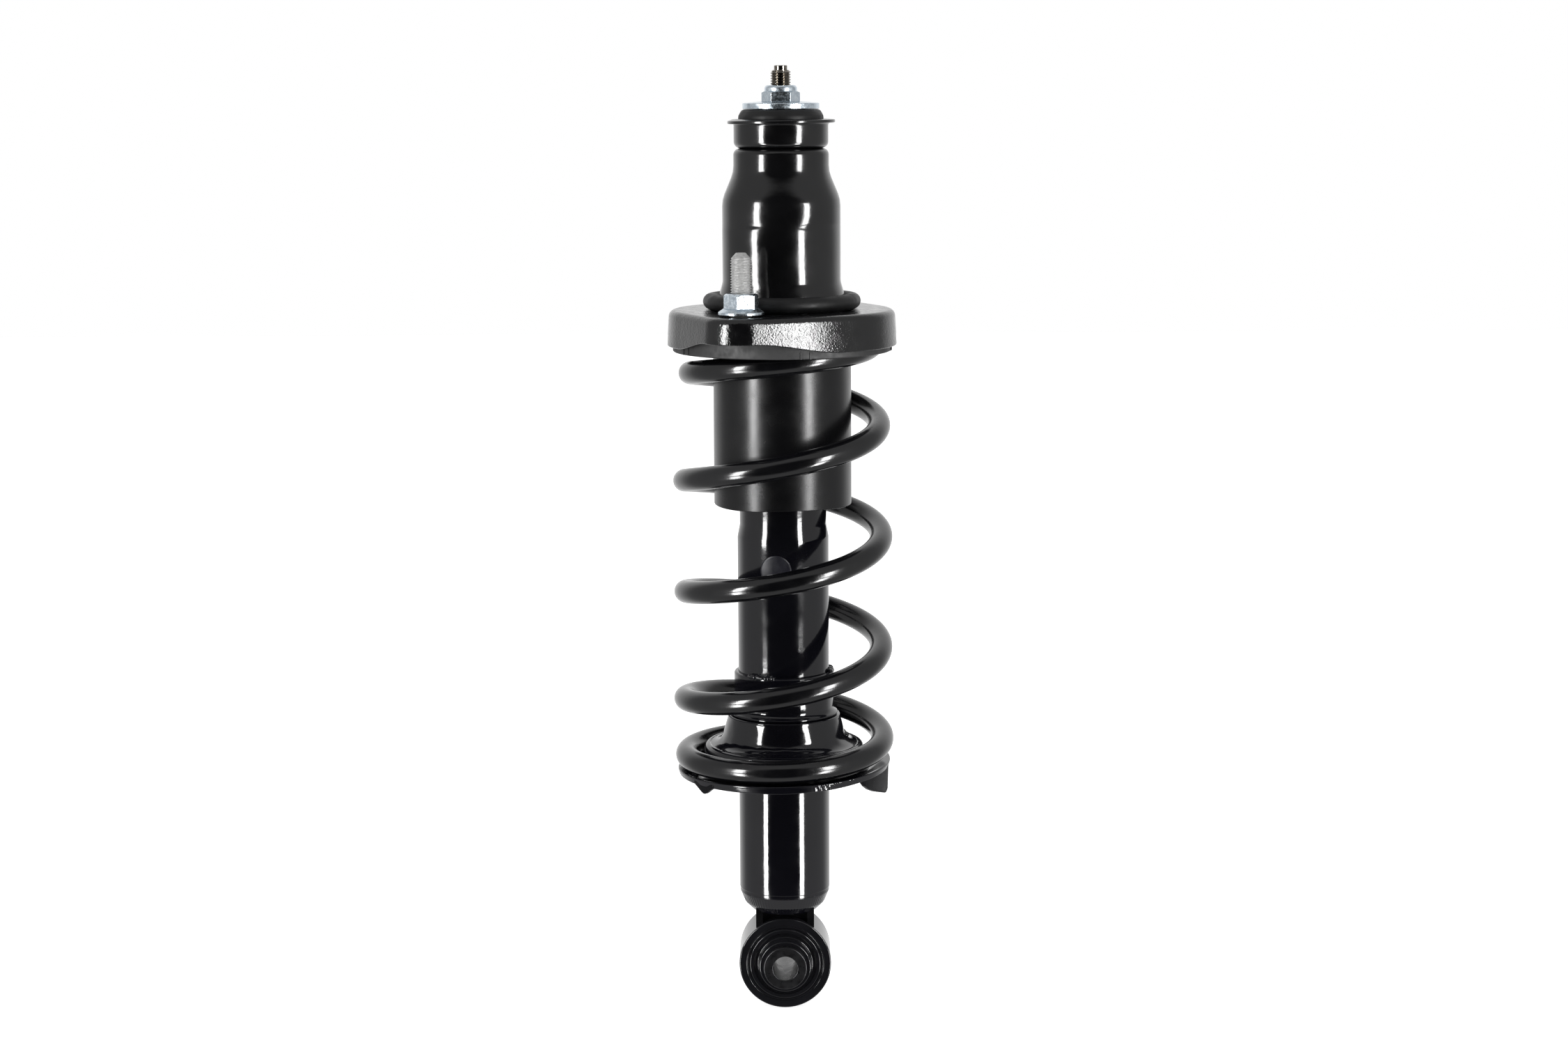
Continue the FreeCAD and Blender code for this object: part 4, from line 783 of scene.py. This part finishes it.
# Rod: hard-chromed, with a threaded end in bare steel that stands through the mount. Its piston,
# guide, seal and valves are inside the damper and keep their plain forms.
ROD_RADIUS = 6.25
ROD_FOOT = -160.3
ROD_SHOULDER = 59.2
PISTON_SEAT = -139.2
PISTON_BORE = 4.5
SHANK_RADIUS = 4.6
SHANK_TOP = 100.0
THREAD_RADIUS = 5.0
THREAD_ROOT = 4.3
THREAD_PITCH = 1.25
THREAD_ROWS = 10
THREAD_FOOT = 98.0
ROOT_SHARE = 0.14
FLANK_SHARE = 0.74
ROD_TIP = 117.5
PILOT_RADIUS = 3.2
PILOT_FOOT = 115.2

hard_chrome = finish(
    "hard_chrome", (20.0, (0.55, 0.55, 0.57), (0.62, 0.62, 0.64)), (0.6, 0.06, 0.12, (1, 1, 8)),
    [(0.3, 0.001, (1, 1, 10))], metallic=1.0,
)
threaded_steel = finish(
    "threaded_steel", (1.6, (0.12, 0.105, 0.085), (0.27, 0.25, 0.22)), (1.2, 0.05, 0.1),
    [(0.2, 0.004)], metallic=1.0,
)
sintered_iron = finish(
    "sintered_iron", (0.8, (0.13, 0.13, 0.135), (0.26, 0.26, 0.27)), 0.5,
    [(0.3, 0.02)], metallic=0.8,
)
sliding_band = finish(
    "sliding_band", (2.0, (0.16, 0.12, 0.07), (0.26, 0.2, 0.12)), 0.45, [(0.4, 0.004)],
)
seal_lip = finish(
    "seal_lip", (3.0, (0.012, 0.012, 0.013), (0.022, 0.022, 0.024)), 0.45, [(0.4, 0.004)],
)
cellular_foam = finish(
    "cellular_foam", (1.2, (0.42, 0.35, 0.2), (0.6, 0.52, 0.33)), 0.85,
    [(0.5, 0.12), (0.15, 0.03)],
)
refinished(sintered_iron, "piston", "rod_guide", "base_valve")
refinished(machined_steel, "rebound_ring", "valve_shims", "piston_nut", "inner_cylinder", "bush_spacer")
refinished(sliding_band, "piston_band")
refinished(seal_lip, "rod_seal")
refinished(cellular_foam, "bump_stop")
refinished(moulded_rubber, "rebound_bumper", "lower_bush")
refinished(satin_black, "bump_cap")

rod = turned("rod", [
    (0, ROD_FOOT),
    (PISTON_BORE, ROD_FOOT, 0.5),
    (PISTON_BORE, PISTON_SEAT, 0.2),
    (ROD_RADIUS, PISTON_SEAT, 0.4),
    (ROD_RADIUS, ROD_SHOULDER, 0.4),
    (SHANK_RADIUS, ROD_SHOULDER, 0.2),
    (SHANK_RADIUS, SHANK_TOP, 0.4),
    (0, SHANK_TOP),
])
fitted(rod, hard_chrome, "chrome_rod", "mount", "piston_rod")


def threaded(name, foot, top, tip_radius, tip_length, **sizes):
    """A threaded bar: a cylinder whose wall follows a helical groove and ends in a cone."""
    recipe = Recipe(
        name,
        Radius=THREAD_RADIUS * MM,
        Root=THREAD_ROOT * MM,
        Pitch=THREAD_PITCH * MM,
        Foot=foot * MM,
        Top=top * MM,
        Tip=tip_radius * MM,
        Cone=tip_length * MM,
        **sizes,
    )
    length = recipe["Top"] - recipe["Foot"]
    rows = round((top - foot) / THREAD_PITCH * THREAD_ROWS)
    counts = {"Vertices": 64, "Side_Segments": rows, "Fill_Segments": 1}
    bar = recipe.result("GeometryNodeMeshCylinder", Radius=1.0, Depth=length, **counts)
    here = recipe.node("ShaderNodeSeparateXYZ", Vector=recipe.result("GeometryNodeInputPosition"))
    x, y, z = (Term(recipe, socket) for socket in here.outputs)
    height = z + length * 0.5 + recipe["Foot"]
    turn = recipe.maths("ARCTAN2", y, x) / (2 * math.pi)
    wave = recipe.maths("PINGPONG", height / recipe["Pitch"] - turn, 0.5) * 2.0
    flank = recipe.kept_within((wave - ROOT_SHARE) / FLANK_SHARE, 0.0, 1.0)
    grooved = recipe["Root"] + flank * (recipe["Radius"] - recipe["Root"])
    slope = (recipe["Radius"] - recipe["Tip"]) / recipe["Cone"]
    cone = (recipe["Top"] - height) * slope + recipe["Tip"]
    radius = recipe.maths("MINIMUM", grooved, cone)
    return recipe, recipe.moved_to(bar, recipe.point(x * radius, y * radius, height))


tip_recipe, tip_wall = threaded("rod_thread", THREAD_FOOT, PILOT_FOOT + 0.05, tip_radius=3.9, tip_length=0.9)
rod_thread = smoothed(tip_recipe.made(tip_wall, threaded_steel))
rod_pilot = turned("rod_pilot", [
    (0, PILOT_FOOT - 2.0),
    (PILOT_RADIUS, PILOT_FOOT - 2.0),
    (PILOT_RADIUS, ROD_TIP, 0.35),
    (0, ROD_TIP),
], count=64)
fitted(joined("rod_end", rod_thread, rod_pilot), threaded_steel, "bare_steel", "mount")

# Dust cover: a thin moulded tube, open at the foot, whose rim is held above the rubber seat. Its
# satin skin gives the strip lights soft edges.
COVER_RADIUS = 33.85
COVER_TOP = -5.1
COVER_FOOT = -95.6
COVER_WALL = 1.8
COVER_RIM = 3.0
COVER_SOFT_TOP = -70.0

satin_plastic = finish(
    "satin_plastic", (16.0, (0.007, 0.007, 0.0085), (0.011, 0.011, 0.013)), (10.0, 0.22, 0.28),
    [(0.4, 0.003), (14.0, 0.03)], specular=0.32,
)


def soft_foot(radius, height, angle):
    """The open end is a little out of true."""
    near = ramp(height, COVER_SOFT_TOP, COVER_FOOT) ** 2
    return radius * (1 + 0.002 * near * np.cos(2 * angle + 0.5)), height + 0.35 * near * np.sin(3 * angle + 0.8)


dust_cover = turned("dust_tube", [
    (COVER_RADIUS - COVER_WALL, COVER_TOP, 0.3),
    (COVER_RADIUS - COVER_WALL, COVER_FOOT, 0.3),
    (COVER_RADIUS, COVER_FOOT, 0.4),
    (COVER_RADIUS - 0.1, COVER_TOP - COVER_WALL, 0.6),
    (COVER_RADIUS + COVER_RIM, COVER_TOP - COVER_WALL, 0.4),
    (COVER_RADIUS + COVER_RIM, COVER_TOP, 0.4),
], soft_foot, count=240)
fitted(dust_cover, satin_plastic, "cover_plastic", "mount", "dust_cover")

# Rubber seat: a moulded ring that the spring's top turn sits in. Its lip shows under the plate's
# skirt, with five pairs of short upright ribs.
SEAT_LIP = 53.4
SEAT_LIP_FOOT = -20.2
SEAT_FLOOR = -10.0
SEAT_TOP = -5.1
RIB_PAIRS = 5
RIB_FIRST = 9.7
RIB_GAP = 4.9
RIB_WIDTH = 0.9
RIB_DEPTH = 1.2
RIB_HEIGHT = 3.4
RIB_SUNK = 0.25
RIB_MIDDLE = 0.55

dusty_rubber = finish(
    "dusty_rubber", (7.0, (0.012, 0.012, 0.013), (0.026, 0.026, 0.028)), (4.0, 0.5, 0.72),
    [(0.4, 0.01), (5.0, 0.05)],
)
rubber_seat = turned("rubber_seat", [
    (34.15, SEAT_TOP, 0.5),
    (34.15, -19.0, 0.8),
    (36.75, -19.0, 0.8),
    (36.75, SEAT_FLOOR, 1.2),
    (SEAT_LIP - 3.4, SEAT_FLOOR, 2.0),
    (SEAT_LIP - 2.9, SEAT_LIP_FOOT, 0.8),
    (SEAT_LIP, SEAT_LIP_FOOT, 0.7),
    (SEAT_LIP, SEAT_TOP, 1.2),
], count=240)
rib_recipe = Recipe(
    "seat_ribs",
    Radius=SEAT_LIP * MM,
    First=math.radians(RIB_FIRST),
    Gap=math.radians(RIB_GAP),
    Width=RIB_WIDTH * MM,
    Height=RIB_HEIGHT * MM,
    Foot=SEAT_LIP_FOOT * MM,
)
rib_line = rib_recipe.result("GeometryNodeMeshLine", Count=RIB_PAIRS * 2)
rib_pair = rib_recipe.maths("FLOOR", rib_recipe.index() / 2.0)
rib_second = rib_recipe.index() - rib_pair * 2.0
rib_angle = rib_recipe["First"] + rib_pair * (2 * math.pi / RIB_PAIRS) + rib_second * rib_recipe["Gap"]
rib_height = rib_recipe["Foot"] + rib_recipe["Height"] * RIB_MIDDLE
rib_place = rib_recipe.around(rib_angle, rib_recipe["Radius"] - RIB_SUNK * MM, rib_height)
rib_spots = rib_recipe.moved_to(rib_line, rib_place)
rib_size = rib_recipe.point(rib_recipe["Width"], RIB_DEPTH * MM, rib_recipe["Height"])
rib_block = rib_recipe.result("GeometryNodeMeshCube", Size=rib_size)
ribs = rib_recipe.copies(rib_spots, rib_block, Rotation=rib_recipe.point(0.0, 0.0, rib_angle))
seat_ribs = rib_recipe.made(ribs, dusty_rubber)
rubber_ring = joined("rubber_seat_ring", rubber_seat, seat_ribs)
fitted(rubber_ring, dusty_rubber, "grey_rubber", "mount", "upper_spring_insulator")

# Coil spring: 5.4 turns of 11.2 mm wire in gloss black. The end turns lie flat, the top ones are
# wound smaller, and between them the wire climbs evenly. The real spring shortens as the damper slides
# up; a weight for that is worked out below from each point's height, but nothing uses it.
WIRE = 5.6
COIL_RADIUS = 48.4
COIL_TAPER = 5.4
COIL_LOW = -221.65
COIL_HIGH = -15.65
COIL_PITCH = 55.3
COIL_LEAN = 1.5
COIL_SWAY = 1.0
SWAY_START = 2.0
SWAY_END = 3.0
LOW_TURN_RISE = 2.5
LOW_TURN_SPREAD = 1.2
COIL_START = -0.56
COIL_END = 4.8
RISE_START = -0.42
RISE_END = 0.95
CLOSE_START = 3.3
TAPER_START = 2.7
TAPER_END = 4.6
RINGS_A_TURN = 96
STRAIGHT = 11.2

rise = RISE_END - RISE_START
turns_up = (COIL_HIGH - COIL_LOW) / COIL_PITCH
close = 2 * (turns_up - rise / 2 - (CLOSE_START - RISE_END))
coil = Recipe(
    "spring_wire",
    Wire=WIRE * MM,
    Radius=COIL_RADIUS * MM,
    Taper=COIL_TAPER * MM,
    Low=COIL_LOW * MM,
    Pitch=COIL_PITCH * MM,
    Lean=COIL_LEAN * MM,
    Sway=COIL_SWAY * MM,
    Low_Rise=LOW_TURN_RISE * MM,
    Low_Spread=LOW_TURN_SPREAD * MM,
    Start=COIL_START,
    End=COIL_END,
    Rise=rise,
    Close=close,
)
coil_rings = round((COIL_END - COIL_START) * RINGS_A_TURN)
coil_line = coil.result("GeometryNodeCurvePrimitiveLine", End=(1.0, 0.0, 0.0))
coil_line = coil.result("GeometryNodeResampleCurve", Curve=coil_line, Count=coil_rings)
coil_share = Term(coil, coil.node("GeometryNodeSplineParameter").outputs["Factor"])
straight_turns = STRAIGHT / (2 * math.pi * COIL_RADIUS)
coil_turn = coil_share * (COIL_END - COIL_START + 2 * straight_turns) + (COIL_START - straight_turns)
wound = coil.kept_within(coil_turn, coil["Start"], coil["End"])


def climbed(share):
    """The height gained where the climb grows smoothly over one share, and then stays even."""
    inside = coil.kept_within(share, 0.0, 1.0)
    cube = inside * inside * inside
    return cube - cube * inside * 0.5 + coil.maths("MAXIMUM", share - 1.0, 0.0)


risen = climbed((wound - RISE_START) / coil["Rise"]) * coil["Rise"]
closed = climbed((wound - CLOSE_START) / coil["Close"]) * coil["Close"]
rising = coil.stepped(wound, RISE_START, RISE_END)
leaning = rising - coil.stepped(wound, CLOSE_START, CLOSE_START + close)
swaying = rising - coil.stepped(wound, SWAY_START, SWAY_END)
lean = coil["Lean"] * leaning + coil["Sway"] * swaying
coil_angle = wound * (2 * math.pi)
first_turn = coil.kept_within(wound, 0.0, 1.0)
low_turn = coil.maths("COSINE", first_turn * (2 * math.pi)) * -0.5 + 0.5
coil_height = (
    coil["Low"] + coil["Pitch"] * (risen - closed)
    - lean * coil.maths("COSINE", coil_angle) + coil["Low_Rise"] * low_turn
)
coil_reach = (
    coil["Radius"] - coil["Taper"] * coil.stepped(wound, TAPER_START, TAPER_END)
    + coil["Low_Spread"] * low_turn
)
beyond = (coil_turn - wound) * coil_reach * (2 * math.pi)
coil_x = coil.maths("SINE", coil_angle) * coil_reach + beyond * coil.maths("COSINE", coil_angle)
coil_y = beyond * coil.maths("SINE", coil_angle) - coil.maths("COSINE", coil_angle) * coil_reach
coil_path = coil.moved_to(coil_line, coil.point(coil_x, coil_y, coil_height))
height_mark = {"data_type": "FLOAT", "domain": "POINT"}
marked = coil.node("GeometryNodeStoreNamedAttribute", height_mark, Geometry=coil_path)
marked.inputs["Name"].default_value = "wire_height"
coil.set(marked.inputs["Value"], coil_height)
wire_section = coil.result("GeometryNodeCurvePrimitiveCircle", Resolution=30, Radius=coil["Wire"])
wire_ends = {"Profile_Curve": wire_section, "Fill_Caps": True}
coil_wall = coil.result("GeometryNodeCurveToMesh", Curve=marked.outputs[0], **wire_ends)
spring_black = finish(
    "spring_black_powder", (18.0, (0.005, 0.005, 0.0065), (0.01, 0.01, 0.0125)), (8.0, 0.12, 0.2),
    [(1.4, 0.005), (7.0, 0.02)],
)
spring = smoothed(coil.made(coil_wall, spring_black))
spring.data.materials.clear()
spring.data.materials.append(spring_black)
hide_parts("coil_spring")
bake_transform(spring)
wire_heights = np.zeros(len(spring.data.vertices))
spring.data.attributes["wire_height"].data.foreach_get("value", wire_heights)
follows_damper = ramp(wire_heights, COIL_HIGH * MM, COIL_LOW * MM)

# Mount plate: 2.3 mm sheet pressed into a shallow cup that holds the spring's top. Its skirt swings
# out round the two studs, is shallower there, and runs straight from each stud's lobe to the round
# part. The black paint is thick and rough on the flat that faces the right light.
PLATE_RADIUS = 56.1
PLATE_SHEET = 2.3
SKIRT_DEPTH = 17.4
SKIRT_DEPTH_AT_STUDS = 12.4
SKIRT_DRAFT = 1.0
SKIRT_ROUND = 3.3
LOBE_RADIUS = 19.3
STUD_CIRCLE = 50.0
STUD_TURN = -22.6
TOWER_HOLE = 30.9
ARC_STATIONS = 24
FLAT_STATIONS = 30
LIT_SIDE = {"past_lobe": math.radians(0.0), "past_round": math.radians(11.5), "dip": 1.6}
PLAIN_SIDE = {"past_lobe": math.radians(-0.5), "past_round": math.radians(0.5), "dip": 0.0}
DIP_FADE = math.radians(30)


def eased(share):
    """0 to 1, with a soft start and end."""
    share = np.clip(share, 0, 1)
    return share * share * (3 - 2 * share)


def plate_quarter(past_lobe, past_round, dip):
    """A quarter of the outline as complex numbers, from a stud's lobe, and how far each is at the stud."""
    lobe_half = math.acos((PLATE_RADIUS - LOBE_RADIUS) / STUD_CIRCLE)
    lobe_turns = np.linspace(0, lobe_half + past_lobe, ARC_STATIONS)
    lobe = STUD_CIRCLE + LOBE_RADIUS * np.exp(1j * lobe_turns)
    round_turns = np.linspace(lobe_half + past_round, math.pi / 2, ARC_STATIONS)
    dips = dip * (1 - eased((round_turns - round_turns[0]) / DIP_FADE))
    round_part = (PLATE_RADIUS - dips) * np.exp(1j * round_turns)
    pull = abs(round_part[0] - lobe[-1]) / 3
    knots = [
        lobe[-1],
        lobe[-1] + pull * 1j * np.exp(1j * lobe_turns[-1]),
        round_part[0] - pull * 1j * np.exp(1j * round_turns[0]),
        round_part[0],
    ]
    shares = np.linspace(0, 1, FLAT_STATIONS + 2)[1:-1]
    weights = [math.comb(3, place) * shares ** place * (1 - shares) ** (3 - place) for place in range(4)]
    flat = sum(weight * knot for weight, knot in zip(weights, knots))
    at_stud = np.concatenate([np.ones(ARC_STATIONS), 1 - eased(shares), np.zeros(ARC_STATIONS)])
    return np.concatenate([lobe, flat, round_part]), at_stud


lit_side, lit_at_stud = plate_quarter(**LIT_SIDE)
plain_side, plain_at_stud = plate_quarter(**PLAIN_SIDE)
half = np.concatenate([lit_side, -plain_side[-2:0:-1].conjugate()])
half_at_stud = np.concatenate([lit_at_stud, plain_at_stud[-2:0:-1]])
spots = np.concatenate([half, -half]) * -1j
ahead = np.roll(spots, -1) - np.roll(spots, 1)
outward = ahead / abs(ahead) * -1j

plate_points = []
for spot, out, at_stud in zip(spots, outward, np.tile(half_at_stud, 2)):
    depth = SKIRT_DEPTH + (SKIRT_DEPTH_AT_STUDS - SKIRT_DEPTH) * at_stud
    section = softened([
        (TOWER_HOLE, 0.0),
        (TOWER_HOLE, -PLATE_SHEET),
        (PLATE_RADIUS - SKIRT_DRAFT - PLATE_SHEET, -PLATE_SHEET, 1.2),
        (PLATE_RADIUS - PLATE_SHEET, -depth, 0.5),
        (PLATE_RADIUS, -depth, 0.6),
        (PLATE_RADIUS - SKIRT_DRAFT, 0.0, SKIRT_ROUND),
    ])
    for reach, height in section:
        if reach < TOWER_HOLE + 2.0:
            place = reach * spot / abs(spot)
        else:
            place = spot + (reach - PLATE_RADIUS) * out
        plate_points.append((place.real, place.imag, height))
plate_faces = ring_faces(len(spots), len(section))

plate_paint = finish(
    "plate_paint", (12.0, (0.006, 0.006, 0.0068), (0.012, 0.012, 0.0135)), (6.0, 0.09, 0.2),
    [(0.9, 0.045), (2.4, 0.03), (10.0, 0.03)],
)
mount_plate = moved(mesh_piece("mount_plate", plate_points, plate_faces), turn=STUD_TURN)
fitted(mount_plate, plate_paint, "black_paint", "mount", "upper_spring_seat")

# Tower: a deep-drawn steel cap with a stepped neck, welded in the plate's hole. Drawing has left it a
# little wavy on its right side, and with a small nick on its left.
TOWER_RADIUS = 28.75
TOWER_SHEET = 2.2
TOWER_HEIGHT = 77.9
NECK_RADIUS = 23.2
NECK_FOOT = 66.6
SHOULDER = 53.2
BEND = 15.0
ROD_HOLE = 10.5
WALL_ROWS = (30.0, 36.0, 38.5, 40.0, 40.8, 41.5, 42.2, 43.0, 44.5, 46.5)


def drawn(radius, height, angle):
    """The marks that deep drawing left in the tower's wall."""
    turn = degrees_from_front(angle)
    outer = radius > TOWER_RADIUS - 1.2
    above = ramp(height, 41.0, 46.0) * ramp(height, 56.0, 53.0)
    swell = 0.4 * above * np.exp(-(((turn - 33.0) / 12.0) ** 2))
    wave = 0.05 * np.sin(height / 9.0) * np.sin(2 * angle + 0.4) * (height < 52)
    oval = 0.8 * ramp(height, 42.0, 39.0) * ramp(height, 8.0, 16.0) * np.sin(2 * angle)
    nick = 0.16 * np.exp(-(((turn + 27.0) / 7.0) ** 2)) * np.exp(-(((height - 41.5) / 0.8) ** 2))
    return radius + outer * (swell + wave - nick - oval), height


tower = turned("tower", [
    (28.4, -4.8, 0.4),
    (30.6, -4.8, 0.4),
    (30.6, 7.0, 4.0),
    (TOWER_RADIUS, 13.5, 8.0),
    *((TOWER_RADIUS, row, 0) for row in WALL_ROWS),
    (TOWER_RADIUS, SHOULDER, BEND),
    (NECK_RADIUS, NECK_FOOT, BEND),
    (NECK_RADIUS, TOWER_HEIGHT, 3.2),
    (ROD_HOLE, TOWER_HEIGHT),
    (ROD_HOLE, TOWER_HEIGHT - TOWER_SHEET),
    (NECK_RADIUS - TOWER_SHEET, TOWER_HEIGHT - TOWER_SHEET, 1.0),
    (NECK_RADIUS - TOWER_SHEET, NECK_FOOT, BEND),
    (TOWER_RADIUS - TOWER_SHEET, SHOULDER, BEND),
    (TOWER_RADIUS - TOWER_SHEET, 13.5, 8.0),
    (28.4, 7.0, 4.0),
], drawn, count=300)
tower_paint = finish(
    "tower_paint", (12.0, (0.006, 0.006, 0.0068), (0.011, 0.011, 0.0125)), (8.0, 0.1, 0.17),
    [(1.3, 0.005), (8.0, 0.02)],
)
fitted(tower, tower_paint, "black_paint", "mount", "mount_tower")

# Bush cup: a small flanged stamping, spot-welded on the tower, which holds the upper rubber bush.
CUP_FLOOR = 79.5
CUP_RADIUS = 22.95
CUP_SHEET = 1.6
CUP_LIP = 91.9
CUP_LIP_RADIUS = 26.1


def bent_lip(radius, height, angle):
    """The lip was sheared unevenly, and stands a little higher on the right."""
    outer = ramp(radius, 23.5, 25.5)
    return radius + 0.15 * outer * np.sin(5 * angle), height + outer * (0.28 * np.sin(angle) - 0.5)


cup = turned("bush_cup", [
    (ROD_HOLE, TOWER_HEIGHT),
    (CUP_RADIUS, TOWER_HEIGHT + 0.02, 3.2),
    (CUP_RADIUS, CUP_LIP - CUP_SHEET, 1.6),
    (CUP_LIP_RADIUS, CUP_LIP - CUP_SHEET, 0.5),
    (CUP_LIP_RADIUS, CUP_LIP, 0.5),
    (CUP_RADIUS - CUP_SHEET, CUP_LIP, 2.0),
    (CUP_RADIUS - CUP_SHEET, CUP_FLOOR, 1.6),
    (ROD_HOLE, CUP_FLOOR),
], bent_lip, count=240)
fitted(cup, tower_paint, "black_paint", "mount", "mount_cup")

# Studs and nuts: two M10 studs pressed up through both sheets, in matt zinc plate, and flange nuts
# run down on them by hand, in bright blue zinc.
STUD_FOOT = 0.4
STUD_TOP = 30.0
STUD_TIP = 2.3
STUD_CONE = 3.0
NUT_FOOT = 0.8
NUT_HEIGHT = 10.0
NUT_FLATS = 15.0
NUT_CORNER_TURN = 12.0
CHAMFER_START = 0.465
CHAMFER_SLOPE = math.tan(math.radians(30))

matt_zinc = finish(
    "matt_zinc", (1.1, (0.46, 0.46, 0.455), (0.66, 0.66, 0.655)), (0.8, 0.5, 0.65),
    [(0.25, 0.006)], metallic=0.5,
)
bright_zinc = finish(
    "bright_zinc", (2.4, (0.48, 0.55, 0.62), (0.66, 0.73, 0.78)), (1.2, 0.14, 0.34),
    [(1.0, 0.012), (0.15, 0.001, (1, 1, 3))], metallic=1.0,
)


def at_studs(recipe, geometry):
    """Puts the same piece at both studs, which stand opposite each other."""
    ends = recipe.result("GeometryNodeMeshLine", Count=2)
    opposite = recipe.index() * math.pi
    spots = recipe.moved_to(ends, recipe.around(opposite + math.radians(STUD_TURN), recipe["Circle"], 0.0))
    return recipe.copies(spots, geometry, Rotation=recipe.point(0.0, 0.0, opposite))


stud_shank = turned("stud_shank", [
    (0, -7.4),
    (7.5, -7.4, 0.6),
    (7.5, -4.8, 0.3),
    (5.4, -4.8, 0.2),
    (5.4, 0.0, 0.3),
    (4.6, 0.3, 0.1),
    (4.6, 2.0, 0.2),
    (0, 2.0),
], count=64)
stud_sizes = {"tip_radius": STUD_TIP, "tip_length": STUD_CONE, "Circle": STUD_CIRCLE * MM}
stud_recipe, stud_wall = threaded("mount_stud_pair", STUD_FOOT, STUD_TOP, **stud_sizes)
whole_stud = stud_recipe.node("GeometryNodeJoinGeometry")
stud_recipe.tree.links.new(stud_wall, whole_stud.inputs[0])
stud_recipe.tree.links.new(stud_recipe.given.outputs["Base"], whole_stud.inputs[0])
studs = smoothed(stud_recipe.made(at_studs(stud_recipe, whole_stud.outputs[0]), matt_zinc, stud_shank))
fitted(studs, matt_zinc, "stud_zinc", "mount", "mount_studs")


def hex_nut(name, flats, foot, top, bore):
    """A hexagon nut with a flat to the front, its top corners cut back by a cone of 30 degrees."""
    corner = flats / math.sqrt(3)
    turns = [math.radians(30 + 60 * side) for side in range(6)]
    outline = softened([(corner * math.sin(turn), -corner * math.cos(turn), 0.3) for turn in turns])
    spots = []
    for spot, after in zip(outline, np.roll(outline, -1, 0)):
        pieces = 10 if np.linalg.norm(after - spot) > 1.0 else 1
        spots += [spot + (after - spot) * piece / pieces for piece in range(pieces)]
    cone_foot = flats * CHAMFER_START
    points = []
    for spot in spots:
        reach = np.linalg.norm(spot)
        shoulder = top - max(0.05, reach - cone_foot) * CHAMFER_SLOPE
        section = softened([
            (bore, foot, 0.1),
            (reach, foot, 0.1),
            (reach, shoulder, 0.15),
            (cone_foot - 0.05, top, 0.15),
            (bore + 0.5, top, 0.1),
            (bore, top - 0.5, 0.1),
        ])
        for out, height in section:
            points.append((*(spot / reach * out), height))
    return mesh_piece(name, points, ring_faces(len(spots), len(section)))


nut_flange = turned("nut_flange", [
    (THREAD_ROOT + 0.5, NUT_FOOT, 0.1),
    (10.9, NUT_FOOT, 0.3),
    (10.9, NUT_FOOT + 1.3, 0.4),
    (8.3, NUT_FOOT + 3.1, 1.5),
    (THREAD_ROOT + 0.5, NUT_FOOT + 3.3, 0.1),
], count=120)
nut_body = hex_nut("nut_body", NUT_FLATS, NUT_FOOT + 0.3, NUT_FOOT + NUT_HEIGHT, THREAD_ROOT + 0.5)
moved(nut_body, turn=30 - NUT_CORNER_TURN)
nut_recipe = Recipe("stud_nut_pair", Circle=STUD_CIRCLE * MM)
nut_pair = at_studs(nut_recipe, nut_recipe.given.outputs["Base"])
nuts = nut_recipe.made(nut_pair, bright_zinc, joined("stud_nut", nut_flange, nut_body))
fitted(nuts, bright_zinc, "bright_zinc", "mount", "stud_nuts")

# Seal ring: a round rubber cord laid round the tower's foot on the plate.
CORD = 3.85
CORD_CIRCLE = 34.75
CORD_SIDES = 28


def laid(radius, height, angle):
    """The cord lies a little loosely."""
    return radius + 0.15 * np.sin(2 * angle + 1.0), height + 0.12 * (1 - np.cos(3 * angle))


cord_turns = [2 * math.pi * side / CORD_SIDES for side in range(CORD_SIDES)]
seal_ring = turned("cord_ring", [
    (CORD_CIRCLE + CORD * math.cos(turn), CORD + CORD * math.sin(turn), 0) for turn in cord_turns
], laid, count=200)
fitted(seal_ring, moulded_rubber, "black_rubber", "mount", "seal_ring")

# Upper bush, washer and nut: a rubber bush bulges out of the cup under a dished zinc washer, and a
# self-locking nut with a round collar holds them on the rod's end.
WASHER_FOOT = 96.7
WASHER_TOP = 99.5
WASHER_RADIUS = 18.6
LOCK_NUT_FOOT = 100.3
LOCK_NUT_FLATS = 16.2

upper_bush = turned("upper_bush_rubber", [
    (7.2, CUP_FLOOR, 0.5),
    (20.6, CUP_FLOOR, 2.5),
    (20.8, 90.5, 2.0),
    (20.6, 93.5, 2.2),
    (18.9, 96.5, 2.2),
    (7.2, 96.6, 0.5),
], count=200)
fitted(upper_bush, moulded_rubber, "black_rubber", "mount", "upper_bush")
washer = turned("dished_washer", [
    (THREAD_RADIUS + 0.2, 97.5, 0.2),
    (10.0, 97.5, 2.0),
    (WASHER_RADIUS, WASHER_FOOT, 0.35),
    (WASHER_RADIUS, WASHER_TOP, 0.45),
    (10.0, LOCK_NUT_FOOT, 2.0),
    (THREAD_RADIUS + 0.2, LOCK_NUT_FOOT, 0.2),
], count=200)
fitted(washer, bright_zinc, "bright_zinc", "mount", "top_washer")
lock_collar = turned("lock_collar", [
    (THREAD_ROOT + 0.3, 104.0, 0.1),
    (7.9, 104.0, 0.1),
    (7.9, 108.1, 1.7),
    (THREAD_ROOT + 1.1, 108.1, 0.5),
    (THREAD_ROOT + 0.3, 107.2, 0.2),
], count=120)
lock_body = hex_nut("lock_body", LOCK_NUT_FLATS, LOCK_NUT_FOOT, LOCK_NUT_FOOT + 5.2, THREAD_ROOT + 0.5)
fitted(joined("lock_nut", lock_body, lock_collar), bright_zinc, "bright_zinc", "mount", "top_nut")
refinished(bright_zinc, "lower_bush_washer")
refinished(satin_black, "eye_neck", "mount_base_plate")
